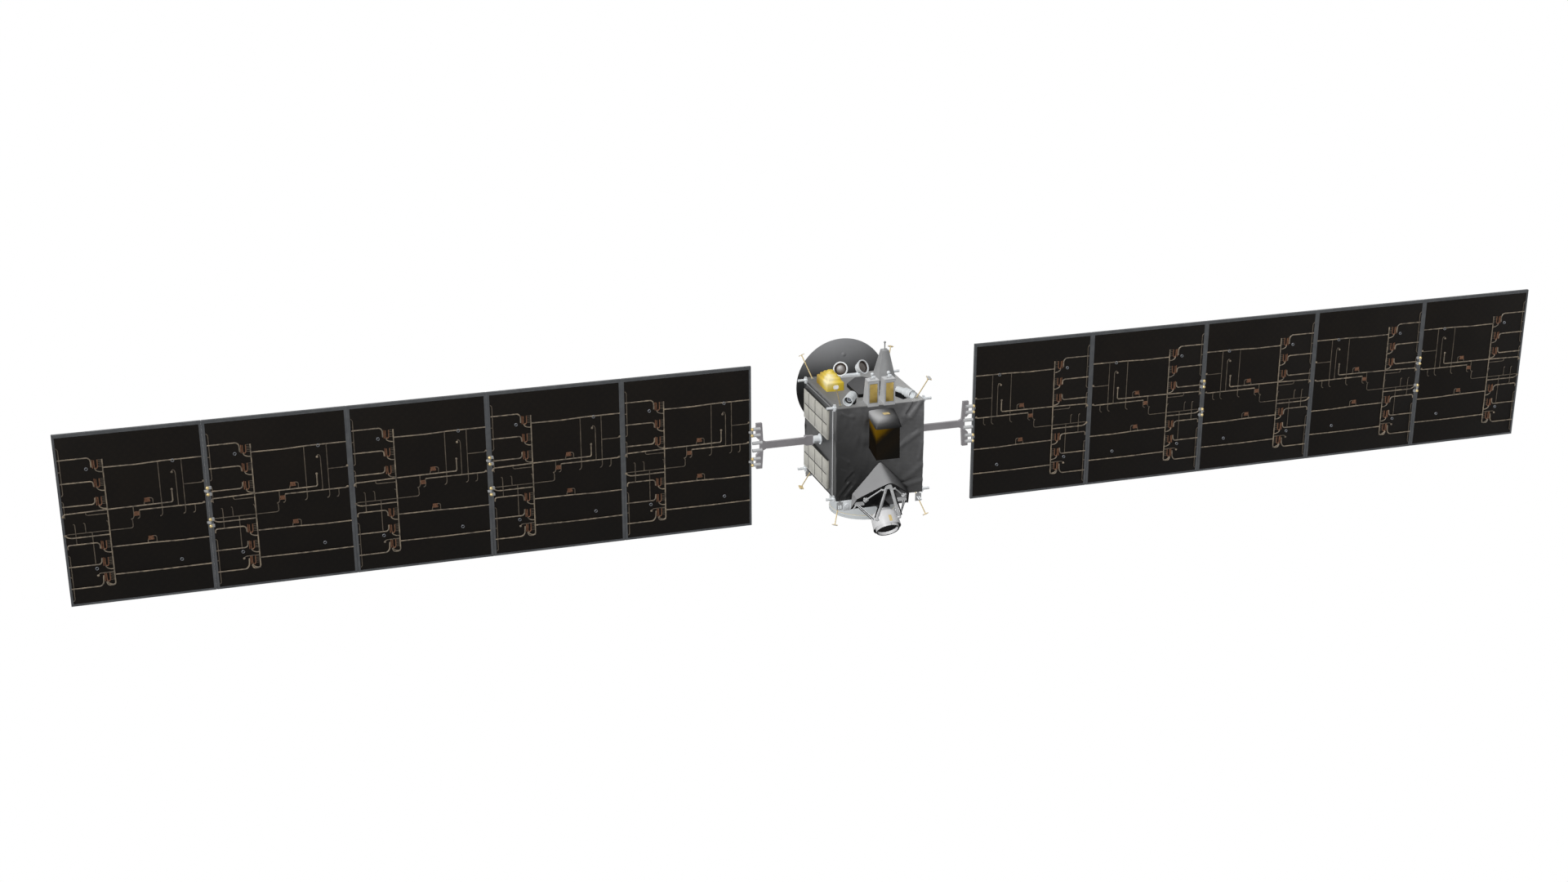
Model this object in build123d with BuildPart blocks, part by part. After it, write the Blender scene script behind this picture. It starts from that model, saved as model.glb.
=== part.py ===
# Deep-space probe with two accordion solar wings, as separate solids.
# Millimetres, +Z up, X along the wings, -Y the front with the sensor box.
# The origin is the bottom centre of the launch ring.
from build123d import *
import math
import os

os.makedirs("parts", exist_ok=True)

# driving dimensions of the bus
ring_height = 390
bus_width = 1156
bus_depth = 1274
bus_height = 1240
wall_thickness = 20
bus_bottom = ring_height
bus_top = ring_height + bus_height
wing_height = ring_height + bus_height / 2
half_width = bus_width / 2
half_depth = bus_depth / 2
inner_width = bus_width - 2 * wall_thickness
inner_depth = bus_depth - 2 * wall_thickness

# running clearances
fit_gap = 0.3
face_gap = 1.0

# launch ring
ring_radius = 433
ring_wall_radius = 428
ring_bore_radius = 404
ring_rim_height = 45
ring_bolt_circle_radius = 416
ring_bolt_radius = 4.5
ring_bolt_count = 24

# drive on each side wall
flange_radius = 70
flange_thickness = 15
can_radius = 50
can_end = half_width + 108
shaft_radius = 20
shaft_length = 70
plate_front = -25
plate_back = 15
block_half_height = 63
root_hinge_u = can_end + 92
root_hinge_y = 36
root_eye_radius = 14
root_pin_radius = 8

# panels
wing_inner_u = 1503
wing_outer_u = 9850
panel_count = 5
panel_tall = 2136
panel_thickness = 36
panel_seam = 10
panel_pitch = (wing_outer_u - wing_inner_u) / panel_count
panel_half_thickness = panel_thickness / 2

# yoke, its crossbar set back from the first panel
boom_half_height = 44
bar_half_height = 305
bar_inner_u = wing_inner_u - 151
bar_end_inner_u = bar_inner_u + 14
bar_outer_u = wing_inner_u - 60
bar_middle_outer_u = bar_outer_u - 49
rod_radius = 22
rod_y = -42
rod_start_u = bar_outer_u - 45
middle_rod_radius = 22
middle_rod_offset = 50

# hinges: the front ones show gold balls, the back ones are plain eyes
hinge_centre_offset = 199
ball_offset = 41
ball_radius = 21
pin_radius = 9
lug_half_height = 13
yoke_hinge_y = -48
front_hinge_y = -44
back_hinge_y = 36
eye_radius = 12
eye_length = 30
lug_reach = 42
socket_setback = 11
socket_depth = 34
hinge_heights = [wing_height - hinge_centre_offset, wing_height + hinge_centre_offset]


def strut(start, end, radius):
    """Add one round rod between two points to the open part."""
    run = Vector(*end) - Vector(*start)
    add(Solid.make_cylinder(radius, run.length, Plane(origin=start, z_dir=run)))


def flat_on(plane, point):
    """The point's two coordinates on a plane."""
    local = plane.to_local_coords(point)
    return local.X, local.Y


# bus structure
with BuildPart() as bus_core:
    with Locations((0, 0, bus_bottom + wall_thickness)):
        Box(inner_width, inner_depth, bus_height - 2 * wall_thickness,
            align=(Align.CENTER, Align.CENTER, Align.MIN))
bus_core.part.label = "bus_core"
export_step(bus_core.part, "parts/bus_core.step")

with BuildPart() as side_walls:
    with Locations((half_width - wall_thickness, 0, bus_bottom + wall_thickness)):
        Box(wall_thickness, bus_depth, bus_height - 2 * wall_thickness,
            align=(Align.MIN, Align.CENTER, Align.MIN))
    mirror(about=Plane.YZ)
side_walls.part.label = "side_walls"
export_step(side_walls.part, "parts/side_walls.step")

with BuildPart() as end_walls:
    with Locations((0, half_depth - wall_thickness, bus_bottom + wall_thickness)):
        Box(inner_width, wall_thickness, bus_height - 2 * wall_thickness,
            align=(Align.CENTER, Align.MIN, Align.MIN))
    mirror(about=Plane.XZ)
end_walls.part.label = "end_walls"
export_step(end_walls.part, "parts/end_walls.step")

with BuildPart() as top_deck:
    with Locations((0, 0, bus_top - wall_thickness)):
        Box(bus_width, bus_depth, wall_thickness,
            align=(Align.CENTER, Align.CENTER, Align.MIN))
top_deck.part.label = "top_deck"
export_step(top_deck.part, "parts/top_deck.step")

with BuildPart() as bottom_deck:
    with Locations((0, 0, bus_bottom)):
        Box(bus_width, bus_depth, wall_thickness,
            align=(Align.CENTER, Align.CENTER, Align.MIN))
bottom_deck.part.label = "bottom_deck"
export_step(bottom_deck.part, "parts/bottom_deck.step")

# launch ring, open below, with the bolt holes of its clamp flange
with BuildPart() as launch_ring:
    Cylinder(ring_wall_radius, ring_height, align=(Align.CENTER, Align.CENTER, Align.MIN))
    Cylinder(ring_radius, ring_rim_height, align=(Align.CENTER, Align.CENTER, Align.MIN))
    Cylinder(ring_bore_radius, ring_height, align=(Align.CENTER, Align.CENTER, Align.MIN),
             mode=Mode.SUBTRACT)
    with PolarLocations(ring_bolt_circle_radius, ring_bolt_count):
        Cylinder(ring_bolt_radius, ring_rim_height / 2,
                 align=(Align.CENTER, Align.CENTER, Align.MIN), mode=Mode.SUBTRACT)
launch_ring.part.label = "launch_ring"
export_step(launch_ring.part, "parts/launch_ring.step")

# louvers on both side walls
louver_thickness = 28
louver_front_y = 292 - half_depth
louver_back_y = half_depth - 47
louver_length = louver_back_y - louver_front_y
louver_bottom_gap = 56
louver_top_gap = 125
louver_drive_gap = 279
louver_height = (bus_height - louver_bottom_gap - louver_top_gap - louver_drive_gap) / 2
louver_bottoms = [bus_bottom + louver_bottom_gap, bus_top - louver_top_gap - louver_height]

with BuildPart() as louvers:
    for bottom in louver_bottoms:
        with Locations((half_width, louver_front_y, bottom)):
            Box(louver_thickness, louver_length, louver_height,
                align=(Align.MIN, Align.MIN, Align.MIN))
    mirror(about=Plane.YZ)
louvers.part.label = "louvers"
export_step(louvers.part, "parts/louvers.step")

# front sensor box with its rounded hood
front_box_half_width = 155
front_hood_half_width = 168
front_y = -half_depth
box_front_y = front_y - 268
box_foot_y = front_y - 285
box_top_z = bus_top - 152
box_top_front_z = bus_top - 228
hood_front_y = front_y - 301
hood_top_z = bus_top - 63

with BuildPart() as front_box:
    with BuildSketch(Plane.YZ):
        with BuildLine():
            Polyline((front_y, box_top_z - 412), (front_y, box_top_z), (box_front_y, box_top_front_z),
                     (box_foot_y, box_top_front_z - 408), close=True)
        make_face()
    extrude(amount=front_box_half_width, both=True)
front_box.part.label = "front_box"
export_step(front_box.part, "parts/front_box.step")

with BuildPart() as front_hood:
    with BuildSketch(Plane.YZ):
        with BuildLine():
            Line((front_y, box_top_z), (front_y, hood_top_z))
            Line((front_y, hood_top_z), (hood_front_y + 93, hood_top_z - 14))
            ThreePointArc((hood_front_y + 93, hood_top_z - 14), (hood_front_y + 25, hood_top_z - 52),
                          (hood_front_y, hood_top_z - 130))
            Line((hood_front_y, hood_top_z - 130), (hood_front_y, box_top_front_z + 2))
            Line((hood_front_y, box_top_front_z + 2), (box_front_y, box_top_front_z))
            Line((box_front_y, box_top_front_z), (front_y, box_top_z))
        make_face()
    extrude(amount=front_hood_half_width, both=True)
    fillet(front_hood.edges().filter_by(GeomType.CIRCLE).sort_by(Axis.X)[0], 30)
    fillet(front_hood.edges().filter_by(GeomType.CIRCLE).sort_by(Axis.X)[-1], 30)
front_hood.part.label = "front_hood"
export_step(front_hood.part, "parts/front_hood.step")

# items on the top deck
stepped_x = 195.5 - half_width
stepped_y = half_depth - 433

with BuildPart() as stepped_box:
    with Locations((stepped_x, stepped_y, bus_top)):
        Box(231, 418, 115, align=(Align.CENTER, Align.CENTER, Align.MIN))
    with Locations((stepped_x, stepped_y, bus_top + 115)):
        Box(180, 330, 42, align=(Align.CENTER, Align.CENTER, Align.MIN))
    with Locations((stepped_x, stepped_y, bus_top + 157)):
        Box(130, 230, 34, align=(Align.CENTER, Align.CENTER, Align.MIN))
    with Locations((stepped_x, stepped_y, bus_top + 191)):
        Cylinder(52, 34, align=(Align.CENTER, Align.CENTER, Align.MIN))
    fillet(stepped_box.edges().sort_by(Axis.Z)[-1], 24)
stepped_box.part.label = "stepped_box"
export_step(stepped_box.part, "parts/stepped_box.step")

plate_front_y = front_y + 302

with BuildPart() as deck_plate:
    with BuildSketch(Plane.XY.offset(bus_top)):
        with BuildLine():
            Polyline((-190, plate_front_y), (-190, plate_front_y + 447), (-8, plate_front_y + 653),
                     (88, plate_front_y + 653), (250, plate_front_y + 463), (250, plate_front_y), close=True)
        make_face()
    extrude(amount=50)
deck_plate.part.label = "deck_plate"
export_step(deck_plate.part, "parts/deck_plate.step")

# truncated camera housings at the front edge, with a ball antenna on each
camera_inner_x = 35
camera_width = 145
camera_top = bus_top + 325
camera_front_y = front_y - 18
camera_back_y = front_y + 172

with BuildPart() as camera_housings:
    with BuildSketch(Plane.YZ.offset(camera_inner_x)):
        with BuildLine():
            Polyline((camera_front_y, bus_top - 18), (front_y, bus_top - 18), (front_y, bus_top),
                     (camera_back_y, bus_top), (camera_back_y - 80, camera_top),
                     (camera_front_y, camera_top), close=True)
        make_face()
    extrude(amount=camera_width)
    with Locations((camera_inner_x + camera_width / 2, camera_front_y + 55, camera_top)):
        Box(60, 48, 18, align=(Align.CENTER, Align.CENTER, Align.MIN))
        Cylinder(9, 55, align=(Align.CENTER, Align.CENTER, Align.MIN))
    with Locations((camera_inner_x + camera_width / 2, camera_front_y + 55, camera_top + 66)):
        Sphere(22)
    mirror(about=Plane.YZ)
camera_housings.part.label = "camera_housings"
export_step(camera_housings.part, "parts/camera_housings.step")

# antenna tower
tower_x = half_width - 197
tower_y = half_depth - 342
tower_top = bus_top + 400
tower_rod = 92

with BuildPart() as antenna_tower:
    with BuildSketch(Plane.XY.offset(bus_top)):
        with Locations((tower_x, tower_y)):
            Rectangle(242, 250)
    with BuildSketch(Plane.XY.offset(tower_top)):
        with Locations((tower_x + 4, tower_y - 2)):
            Rectangle(84, 84)
    loft()
    fillet(antenna_tower.faces().sort_by(Axis.Z)[-1].edges(), 16)
    with Locations((tower_x + 4, tower_y - 2, tower_top)):
        Cylinder(8, tower_rod, align=(Align.CENTER, Align.CENTER, Align.MIN))
    with Locations((tower_x + 4, tower_y - 2, tower_top + tower_rod)):
        Sphere(15)
antenna_tower.part.label = "antenna_tower"
export_step(antenna_tower.part, "parts/antenna_tower.step")

# star trackers: open tubes on saddle blocks
tube_axis_z = bus_top + 78
left_tube_mouth = Vector(138 - half_width, front_y + 5, tube_axis_z)
left_tube_run = Vector(math.sin(math.radians(33.7)), math.cos(math.radians(33.7)), 0)
right_tube_mouth = Vector(half_width - 160, front_y + 7, tube_axis_z)
right_tube_run = Vector(-math.sin(math.radians(22.7)), math.cos(math.radians(22.7)), 0)
left_block = left_tube_mouth + left_tube_run * 161.5
right_block = right_tube_mouth + right_tube_run * 183

with BuildPart() as star_trackers:
    with BuildSketch(Plane(origin=left_tube_mouth, z_dir=left_tube_run)):
        Circle(62)
    extrude(amount=235)
    with BuildSketch(Plane(origin=left_tube_mouth, z_dir=left_tube_run)):
        Circle(54)
    extrude(amount=90, mode=Mode.SUBTRACT)
    with BuildSketch(Plane(origin=right_tube_mouth, z_dir=right_tube_run)):
        Circle(58)
    extrude(amount=130)
    with BuildSketch(Plane(origin=right_tube_mouth, z_dir=right_tube_run)):
        Circle(44)
    extrude(amount=270)
    with BuildSketch(Plane(origin=right_tube_mouth, z_dir=right_tube_run)):
        Circle(50)
    extrude(amount=90, mode=Mode.SUBTRACT)
star_trackers.part.label = "star_trackers"
export_step(star_trackers.part, "parts/star_trackers.step")

with BuildPart() as tracker_blocks:
    with BuildSketch(Plane(origin=(0, 0, bus_top))):
        with Locations((left_block.X, left_block.Y)):
            Rectangle(120, 90, rotation=-33.7)
        with Locations((right_block.X, right_block.Y)):
            Rectangle(120, 170, rotation=22.7)
    extrude(amount=62)
    add(star_trackers.part, mode=Mode.SUBTRACT)
tracker_blocks.part.label = "tracker_blocks"
export_step(tracker_blocks.part, "parts/tracker_blocks.step")

# two cup sensors at the back of the deck, on one bracket
cup_rim = Vector(158, half_depth - 175, bus_top + 132)
cup_run = Vector(-0.45, 0.75, -0.48)

with BuildPart() as cup_sensors:
    with BuildSketch(Plane(origin=cup_rim, z_dir=cup_run)):
        Circle(95)
    with BuildSketch(Plane(origin=cup_rim + cup_run.normalized() * 88, z_dir=cup_run)):
        Circle(66)
    loft()
    with BuildSketch(Plane(origin=cup_rim, z_dir=cup_run)):
        Circle(80)
    extrude(amount=36, mode=Mode.SUBTRACT)
    mirror(about=Plane.YZ)
cup_sensors.part.label = "cup_sensors"
export_step(cup_sensors.part, "parts/cup_sensors.step")

cup_foot_y = half_depth - 115

with BuildPart() as cup_bracket:
    with Locations((0, cup_foot_y, bus_top)):
        Box(250, 70, 26, align=(Align.CENTER, Align.CENTER, Align.MIN))
    with Locations((112, cup_foot_y, bus_top), (-112, cup_foot_y, bus_top)):
        Cylinder(26, 92, align=(Align.CENTER, Align.CENTER, Align.MIN))
    add(cup_sensors.part, mode=Mode.SUBTRACT)
cup_bracket.part.label = "cup_bracket"
export_step(cup_bracket.part, "parts/cup_bracket.step")

# high-gain dish on the back wall, facing +Y
dish_z = bus_top - 215
dish_radius = 620
dish_back_y = half_depth + 63
dish_rim_y = dish_back_y + 180
dish_skin = 14
horn_radius = 40
feed_reach = 450
dish_axis = Axis((0, 0, dish_z), (0, 1, 0))

with BuildPart() as dish_reflector:
    with BuildSketch(Plane.YZ):
        with BuildLine():
            ThreePointArc((dish_back_y, dish_z + horn_radius), (dish_back_y + 45, dish_z + dish_radius / 2),
                          (dish_rim_y, dish_z + dish_radius))
            Line((dish_rim_y, dish_z + dish_radius), (dish_rim_y + dish_skin, dish_z + dish_radius - 8))
            ThreePointArc((dish_rim_y + dish_skin, dish_z + dish_radius - 8),
                          (dish_back_y + 45 + dish_skin, dish_z + dish_radius / 2),
                          (dish_back_y + dish_skin, dish_z + horn_radius))
            Line((dish_back_y + dish_skin, dish_z + horn_radius), (dish_back_y, dish_z + horn_radius))
        make_face()
    revolve(axis=dish_axis)
dish_reflector.part.label = "dish_reflector"
export_step(dish_reflector.part, "parts/dish_reflector.step")

with BuildPart() as dish_mount:
    with BuildSketch(Plane.XZ.offset(-half_depth)):
        with Locations((0, dish_z)):
            Circle(170)
            Circle(120, mode=Mode.SUBTRACT)
    extrude(amount=-95)
    for side_x in (-1, 1):
        strut((side_x * 300, half_depth, dish_z - 265), (side_x * 330, dish_back_y + 100, dish_z - 200), 14)
        strut((side_x * 300, half_depth, dish_z + 125), (side_x * 300, dish_back_y + 100, dish_z + 155), 14)
    add(dish_reflector.part, mode=Mode.SUBTRACT)
    split(bisect_by=Plane.XZ.offset(-half_depth), keep=Keep.BOTTOM)
dish_mount.part.label = "dish_mount"
export_step(dish_mount.part, "parts/dish_mount.step")

with BuildPart() as dish_feed:
    with BuildSketch(Plane.XZ.offset(-dish_back_y - 6)):
        with Locations((0, dish_z)):
            Circle(58)
    with BuildSketch(Plane.XZ.offset(-dish_back_y - 160)):
        with Locations((0, dish_z)):
            Circle(34)
    loft()
    with BuildSketch(Plane.XZ.offset(-dish_back_y - feed_reach)):
        with Locations((0, dish_z)):
            Circle(80)
    extrude(amount=-22)
    for angle in (90, 210, 330):
        leg_x = math.cos(math.radians(angle))
        leg_z = math.sin(math.radians(angle))
        strut((430 * leg_x, dish_back_y + 80, dish_z + 430 * leg_z),
              (66 * leg_x, dish_back_y + feed_reach + 12, dish_z + 66 * leg_z), 8)
    add(dish_reflector.part, mode=Mode.SUBTRACT)
dish_feed.part.label = "dish_feed"
export_step(dish_feed.part, "parts/dish_feed.step")

# ion engines: one in the launch ring, one canted at the front and one at the back
engine_mouth = Vector(0, front_y - 326, bus_bottom - 325)
engine_cant = 41.4
engine_up = Vector(0, math.sin(math.radians(engine_cant)), math.cos(math.radians(engine_cant)))
engine_axis = Axis(engine_mouth, engine_up)
engine_length = 288
engine_radius = 183
bore_radius = 131
bore_depth = 70
# radius and height above the mouth
engine_outline = [(bore_radius, 0), (engine_radius - 6, 0), (engine_radius - 6, 20), (engine_radius - 3, 30),
                  (engine_radius, 149), (78, engine_length), (0, engine_length), (0, bore_depth),
                  (bore_radius, bore_depth)]

with BuildPart() as outer_engines:
    with BuildSketch(Plane(origin=engine_mouth, x_dir=(1, 0, 0), z_dir=engine_up.cross(Vector(-1, 0, 0)))):
        with BuildLine():
            Polyline(*engine_outline, close=True)
        make_face()
    revolve(axis=engine_axis)
    mirror(about=Plane.XZ)
outer_engines.part.label = "outer_engines"
export_step(outer_engines.part, "parts/outer_engines.step")

centre_mouth_z = bus_bottom - 330
with BuildPart() as centre_engine:
    with BuildSketch(Plane.XZ):
        with BuildLine():
            Polyline(*[(r, h + centre_mouth_z) for r, h in engine_outline], close=True)
        make_face()
    revolve(axis=Axis.Z)
    with Locations((0, 0, centre_mouth_z + engine_length)):
        Cylinder(60, ring_height - centre_mouth_z - engine_length,
                 align=(Align.CENTER, Align.CENTER, Align.MIN))
centre_engine.part.label = "centre_engine"
export_step(centre_engine.part, "parts/centre_engine.step")

# tent-shaped engine shades, sheet on a back plate
sheet = 8
shade_apex = Vector(0, front_y, bus_bottom + 456)
shade_ridge = Vector(0, front_y - 375, bus_bottom + 308)
shade_shoulder = Vector(-364, front_y, bus_bottom + 73)
shade_corner = Vector(-347, front_y - 127, bus_bottom + 42)
shade_foot = Vector(-385, front_y - 3, bus_bottom - 128)
roof_normal = (shade_ridge - shade_apex).cross(shade_shoulder - shade_apex)
cheek_normal = (shade_corner - shade_shoulder).cross(shade_foot - shade_shoulder)
roof_plane = Plane(origin=shade_apex, x_dir=shade_ridge - shade_apex, z_dir=roof_normal)
cheek_plane = Plane(origin=shade_shoulder, x_dir=shade_foot - shade_shoulder, z_dir=cheek_normal)

with BuildPart() as engine_shades:
    with BuildSketch(roof_plane):
        with BuildLine():
            Polyline(*[flat_on(roof_plane, p) for p in
                       (shade_apex, shade_ridge, shade_corner, shade_shoulder)], close=True)
        make_face()
    extrude(amount=sheet, both=True)
    with BuildSketch(cheek_plane):
        with BuildLine():
            Polyline(*[flat_on(cheek_plane, p) for p in
                       (shade_shoulder, shade_corner, shade_foot)], close=True)
        make_face()
    extrude(amount=sheet / 2, both=True)
    mirror(about=Plane.YZ)
    with BuildSketch(Plane.XZ.offset(half_depth)):
        with BuildLine():
            Polyline((0, shade_apex.Z), (shade_shoulder.X, shade_shoulder.Z), (shade_foot.X, shade_foot.Z),
                     (-shade_foot.X, shade_foot.Z), (-shade_shoulder.X, shade_shoulder.Z), close=True)
        make_face()
    extrude(amount=sheet)
    split(bisect_by=Plane.XZ.offset(half_depth), keep=Keep.TOP)
    mirror(about=Plane.XZ)
engine_shades.part.label = "engine_shades"
export_step(engine_shades.part, "parts/engine_shades.step")

# struts, brackets and arms that carry each outer engine under its shade
ridge_block = Vector(0, front_y - 323, bus_bottom + 261)
bracket_z = bus_bottom - 55
bracket_x = 285
bracket_y = front_y - 48

with BuildPart() as engine_mounts:
    with Locations(ridge_block):
        Box(64, 56, 58)
    for side_x in (-1, 1):
        # flat main strut from the block to a boss on the can
        strut_top = ridge_block + Vector(side_x * 30, 2, -20)
        strut_foot = engine_mouth + Vector(side_x * 150, -2, 152)
        with BuildSketch(Plane(origin=strut_top, x_dir=(side_x * 0.87, -0.5, 0), z_dir=strut_foot - strut_top)):
            RectangleRounded(40, 24, 9)
        extrude(amount=(strut_foot - strut_top).length)
        with Locations(strut_foot):
            Sphere(22)
        # bent arm out to a fitting under the roof
        elbow_start = ridge_block + Vector(side_x * 44, -1, -88)
        elbow_low = ridge_block + Vector(side_x * 60, 5, -53)
        elbow_high = ridge_block + Vector(side_x * 90, 20, -50)
        arm_end = Vector(side_x * 255, front_y - 198, bus_bottom + 55)
        strut(elbow_start, elbow_low + (elbow_low - elbow_start).normalized() * 10, 13)
        strut(elbow_low, elbow_high + (elbow_high - elbow_low).normalized() * 8, 12)
        strut(elbow_high, arm_end, 9)
        strut(arm_end + Vector(side_x * -17, -12, 15), arm_end + Vector(side_x * 15, 10, -18), 24)
        strut(arm_end, arm_end + Vector(side_x * 26, -10, 25), 13)
        # bracket on the back plate, its leg on the same side of both
        with Locations((side_x * bracket_x, bracket_y + 9, bracket_z)):
            Box(110, 62, 26)
        with Locations((side_x * bracket_x + 12, bracket_y, bracket_z)):
            Cylinder(11, 30, mode=Mode.SUBTRACT)
        leg_top = Vector(side_x * bracket_x - 46, bracket_y - 6, bracket_z)
        strut(leg_top, leg_top + Vector(-40, 0, -62), 10)
        # two thin rods from the bracket to the can
        strut((side_x * 325, bracket_y - 12, bracket_z - 8), engine_mouth + Vector(side_x * 176, 80, 122), 7)
        strut((side_x * 300, bracket_y - 8, bracket_z - 8), engine_mouth + Vector(side_x * 164, 22, 142), 7)
    with Locations((0, front_y - sheet, bracket_z - 22)):
        Box(150, 175, 44, align=(Align.CENTER, Align.MAX, Align.CENTER))
    add(outer_engines.part, mode=Mode.SUBTRACT)
    add(engine_shades.part, mode=Mode.SUBTRACT)
    mirror(about=Plane.XZ)
engine_mounts.part.label = "engine_mounts"
export_step(engine_mounts.part, "parts/engine_mounts.step")

# corner masts: foot and head of each rod, the same at every corner
mast_foot = (half_width - 73, half_depth - 87)
mast_head = (half_width + 34, half_depth + 48)
mast_reach = 292
mast_radius = 7

with BuildPart() as corner_masts:
    for deck_z, way in ((bus_top, 1), (bus_bottom, -1)):
        foot = Vector(mast_foot[0], mast_foot[1], deck_z)
        head = Vector(mast_head[0], mast_head[1], deck_z + way * mast_reach)
        with Locations((foot.X, foot.Y, deck_z + way * 5)):
            Box(44, 44, 10)
        strut(foot + (head - foot).normalized() * 6, head, mast_radius)
        with BuildSketch(Plane(origin=head, z_dir=head - foot)):
            Rectangle(62, 62)
        extrude(amount=8)
    mirror(about=Plane.YZ)
    mirror(about=Plane.XZ)
corner_masts.part.label = "corner_masts"
export_step(corner_masts.part, "parts/corner_masts.step")

# posts that hold the folded wing
post_y = half_depth - 62
post_heights = [bus_bottom + 12, bus_top - 12]
post_end = can_end + 9

with BuildPart() as wing_posts:
    for height in post_heights:
        with Locations((half_width, post_y, height)):
            Box(26, 84, 34, align=(Align.MIN, Align.CENTER, Align.CENTER))
            Box(26, 34, 84, align=(Align.MIN, Align.CENTER, Align.CENTER))
        strut((half_width, post_y, height), (post_end, post_y, height), 17)
    mirror(about=Plane.YZ)
    mirror(about=Plane.XZ)
wing_posts.part.label = "wing_posts"
export_step(wing_posts.part, "parts/wing_posts.step")

# small thruster plates at the bottom corners, each with two nozzles
thruster_x = half_width - 48
thruster_y = half_depth - 15
nozzle_z = bus_bottom - 72

with BuildPart() as thruster_plates:
    with Locations((thruster_x, thruster_y, bus_bottom)):
        Box(30, 8, 30, align=(Align.CENTER, Align.MIN, Align.MAX))
    with Locations((thruster_x, thruster_y, bus_bottom - 25)):
        Box(80, 8, 100, align=(Align.CENTER, Align.MIN, Align.MAX))
    mirror(about=Plane.YZ)
    mirror(about=Plane.XZ)
    with Locations((138 - half_width, -thruster_y, bus_bottom)):
        Box(80, 10, 140, align=(Align.CENTER, Align.MAX, Align.MAX))
thruster_plates.part.label = "corner_plates"
export_step(thruster_plates.part, "parts/corner_plates.step")

with BuildPart() as thruster_nozzles:
    for nozzle_x in (thruster_x - 14, thruster_x + 14):
        start = Vector(nozzle_x, thruster_y + 8, nozzle_z)
        run = Vector(0.25, 0.8, -0.45)
        with BuildSketch(Plane.XZ.offset(-(thruster_y + 8))):
            with Locations((nozzle_x, nozzle_z)):
                Circle(9)
        extrude(amount=-10)
        strut(start + Vector(0, 8, 0), start + run * 58, 8)
    mirror(about=Plane.YZ)
    mirror(about=Plane.XZ)
thruster_nozzles.part.label = "thruster_nozzles"
export_step(thruster_nozzles.part, "parts/thruster_nozzles.step")

# fixed drive housings with the bore of the wing shaft
with BuildPart() as drive_housings:
    with BuildSketch(Plane.YZ.offset(half_width)):
        with Locations((0, wing_height)):
            Circle(flange_radius)
    extrude(amount=flange_thickness)
    with BuildSketch(Plane.YZ.offset(half_width)):
        with Locations((0, wing_height)):
            Circle(can_radius)
    extrude(amount=can_end - half_width)
    with BuildSketch(Plane.YZ.offset(can_end - shaft_length - face_gap)):
        with Locations((0, wing_height)):
            Circle(shaft_radius + fit_gap)
    extrude(amount=shaft_length + face_gap, mode=Mode.SUBTRACT)
    mirror(about=Plane.YZ)
drive_housings.part.label = "drive_housings"
export_step(drive_housings.part, "parts/drive_housings.step")

# wings: every piece is built on the right and mirrored to the left
sides = [("left", True), ("right", False)]

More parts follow.
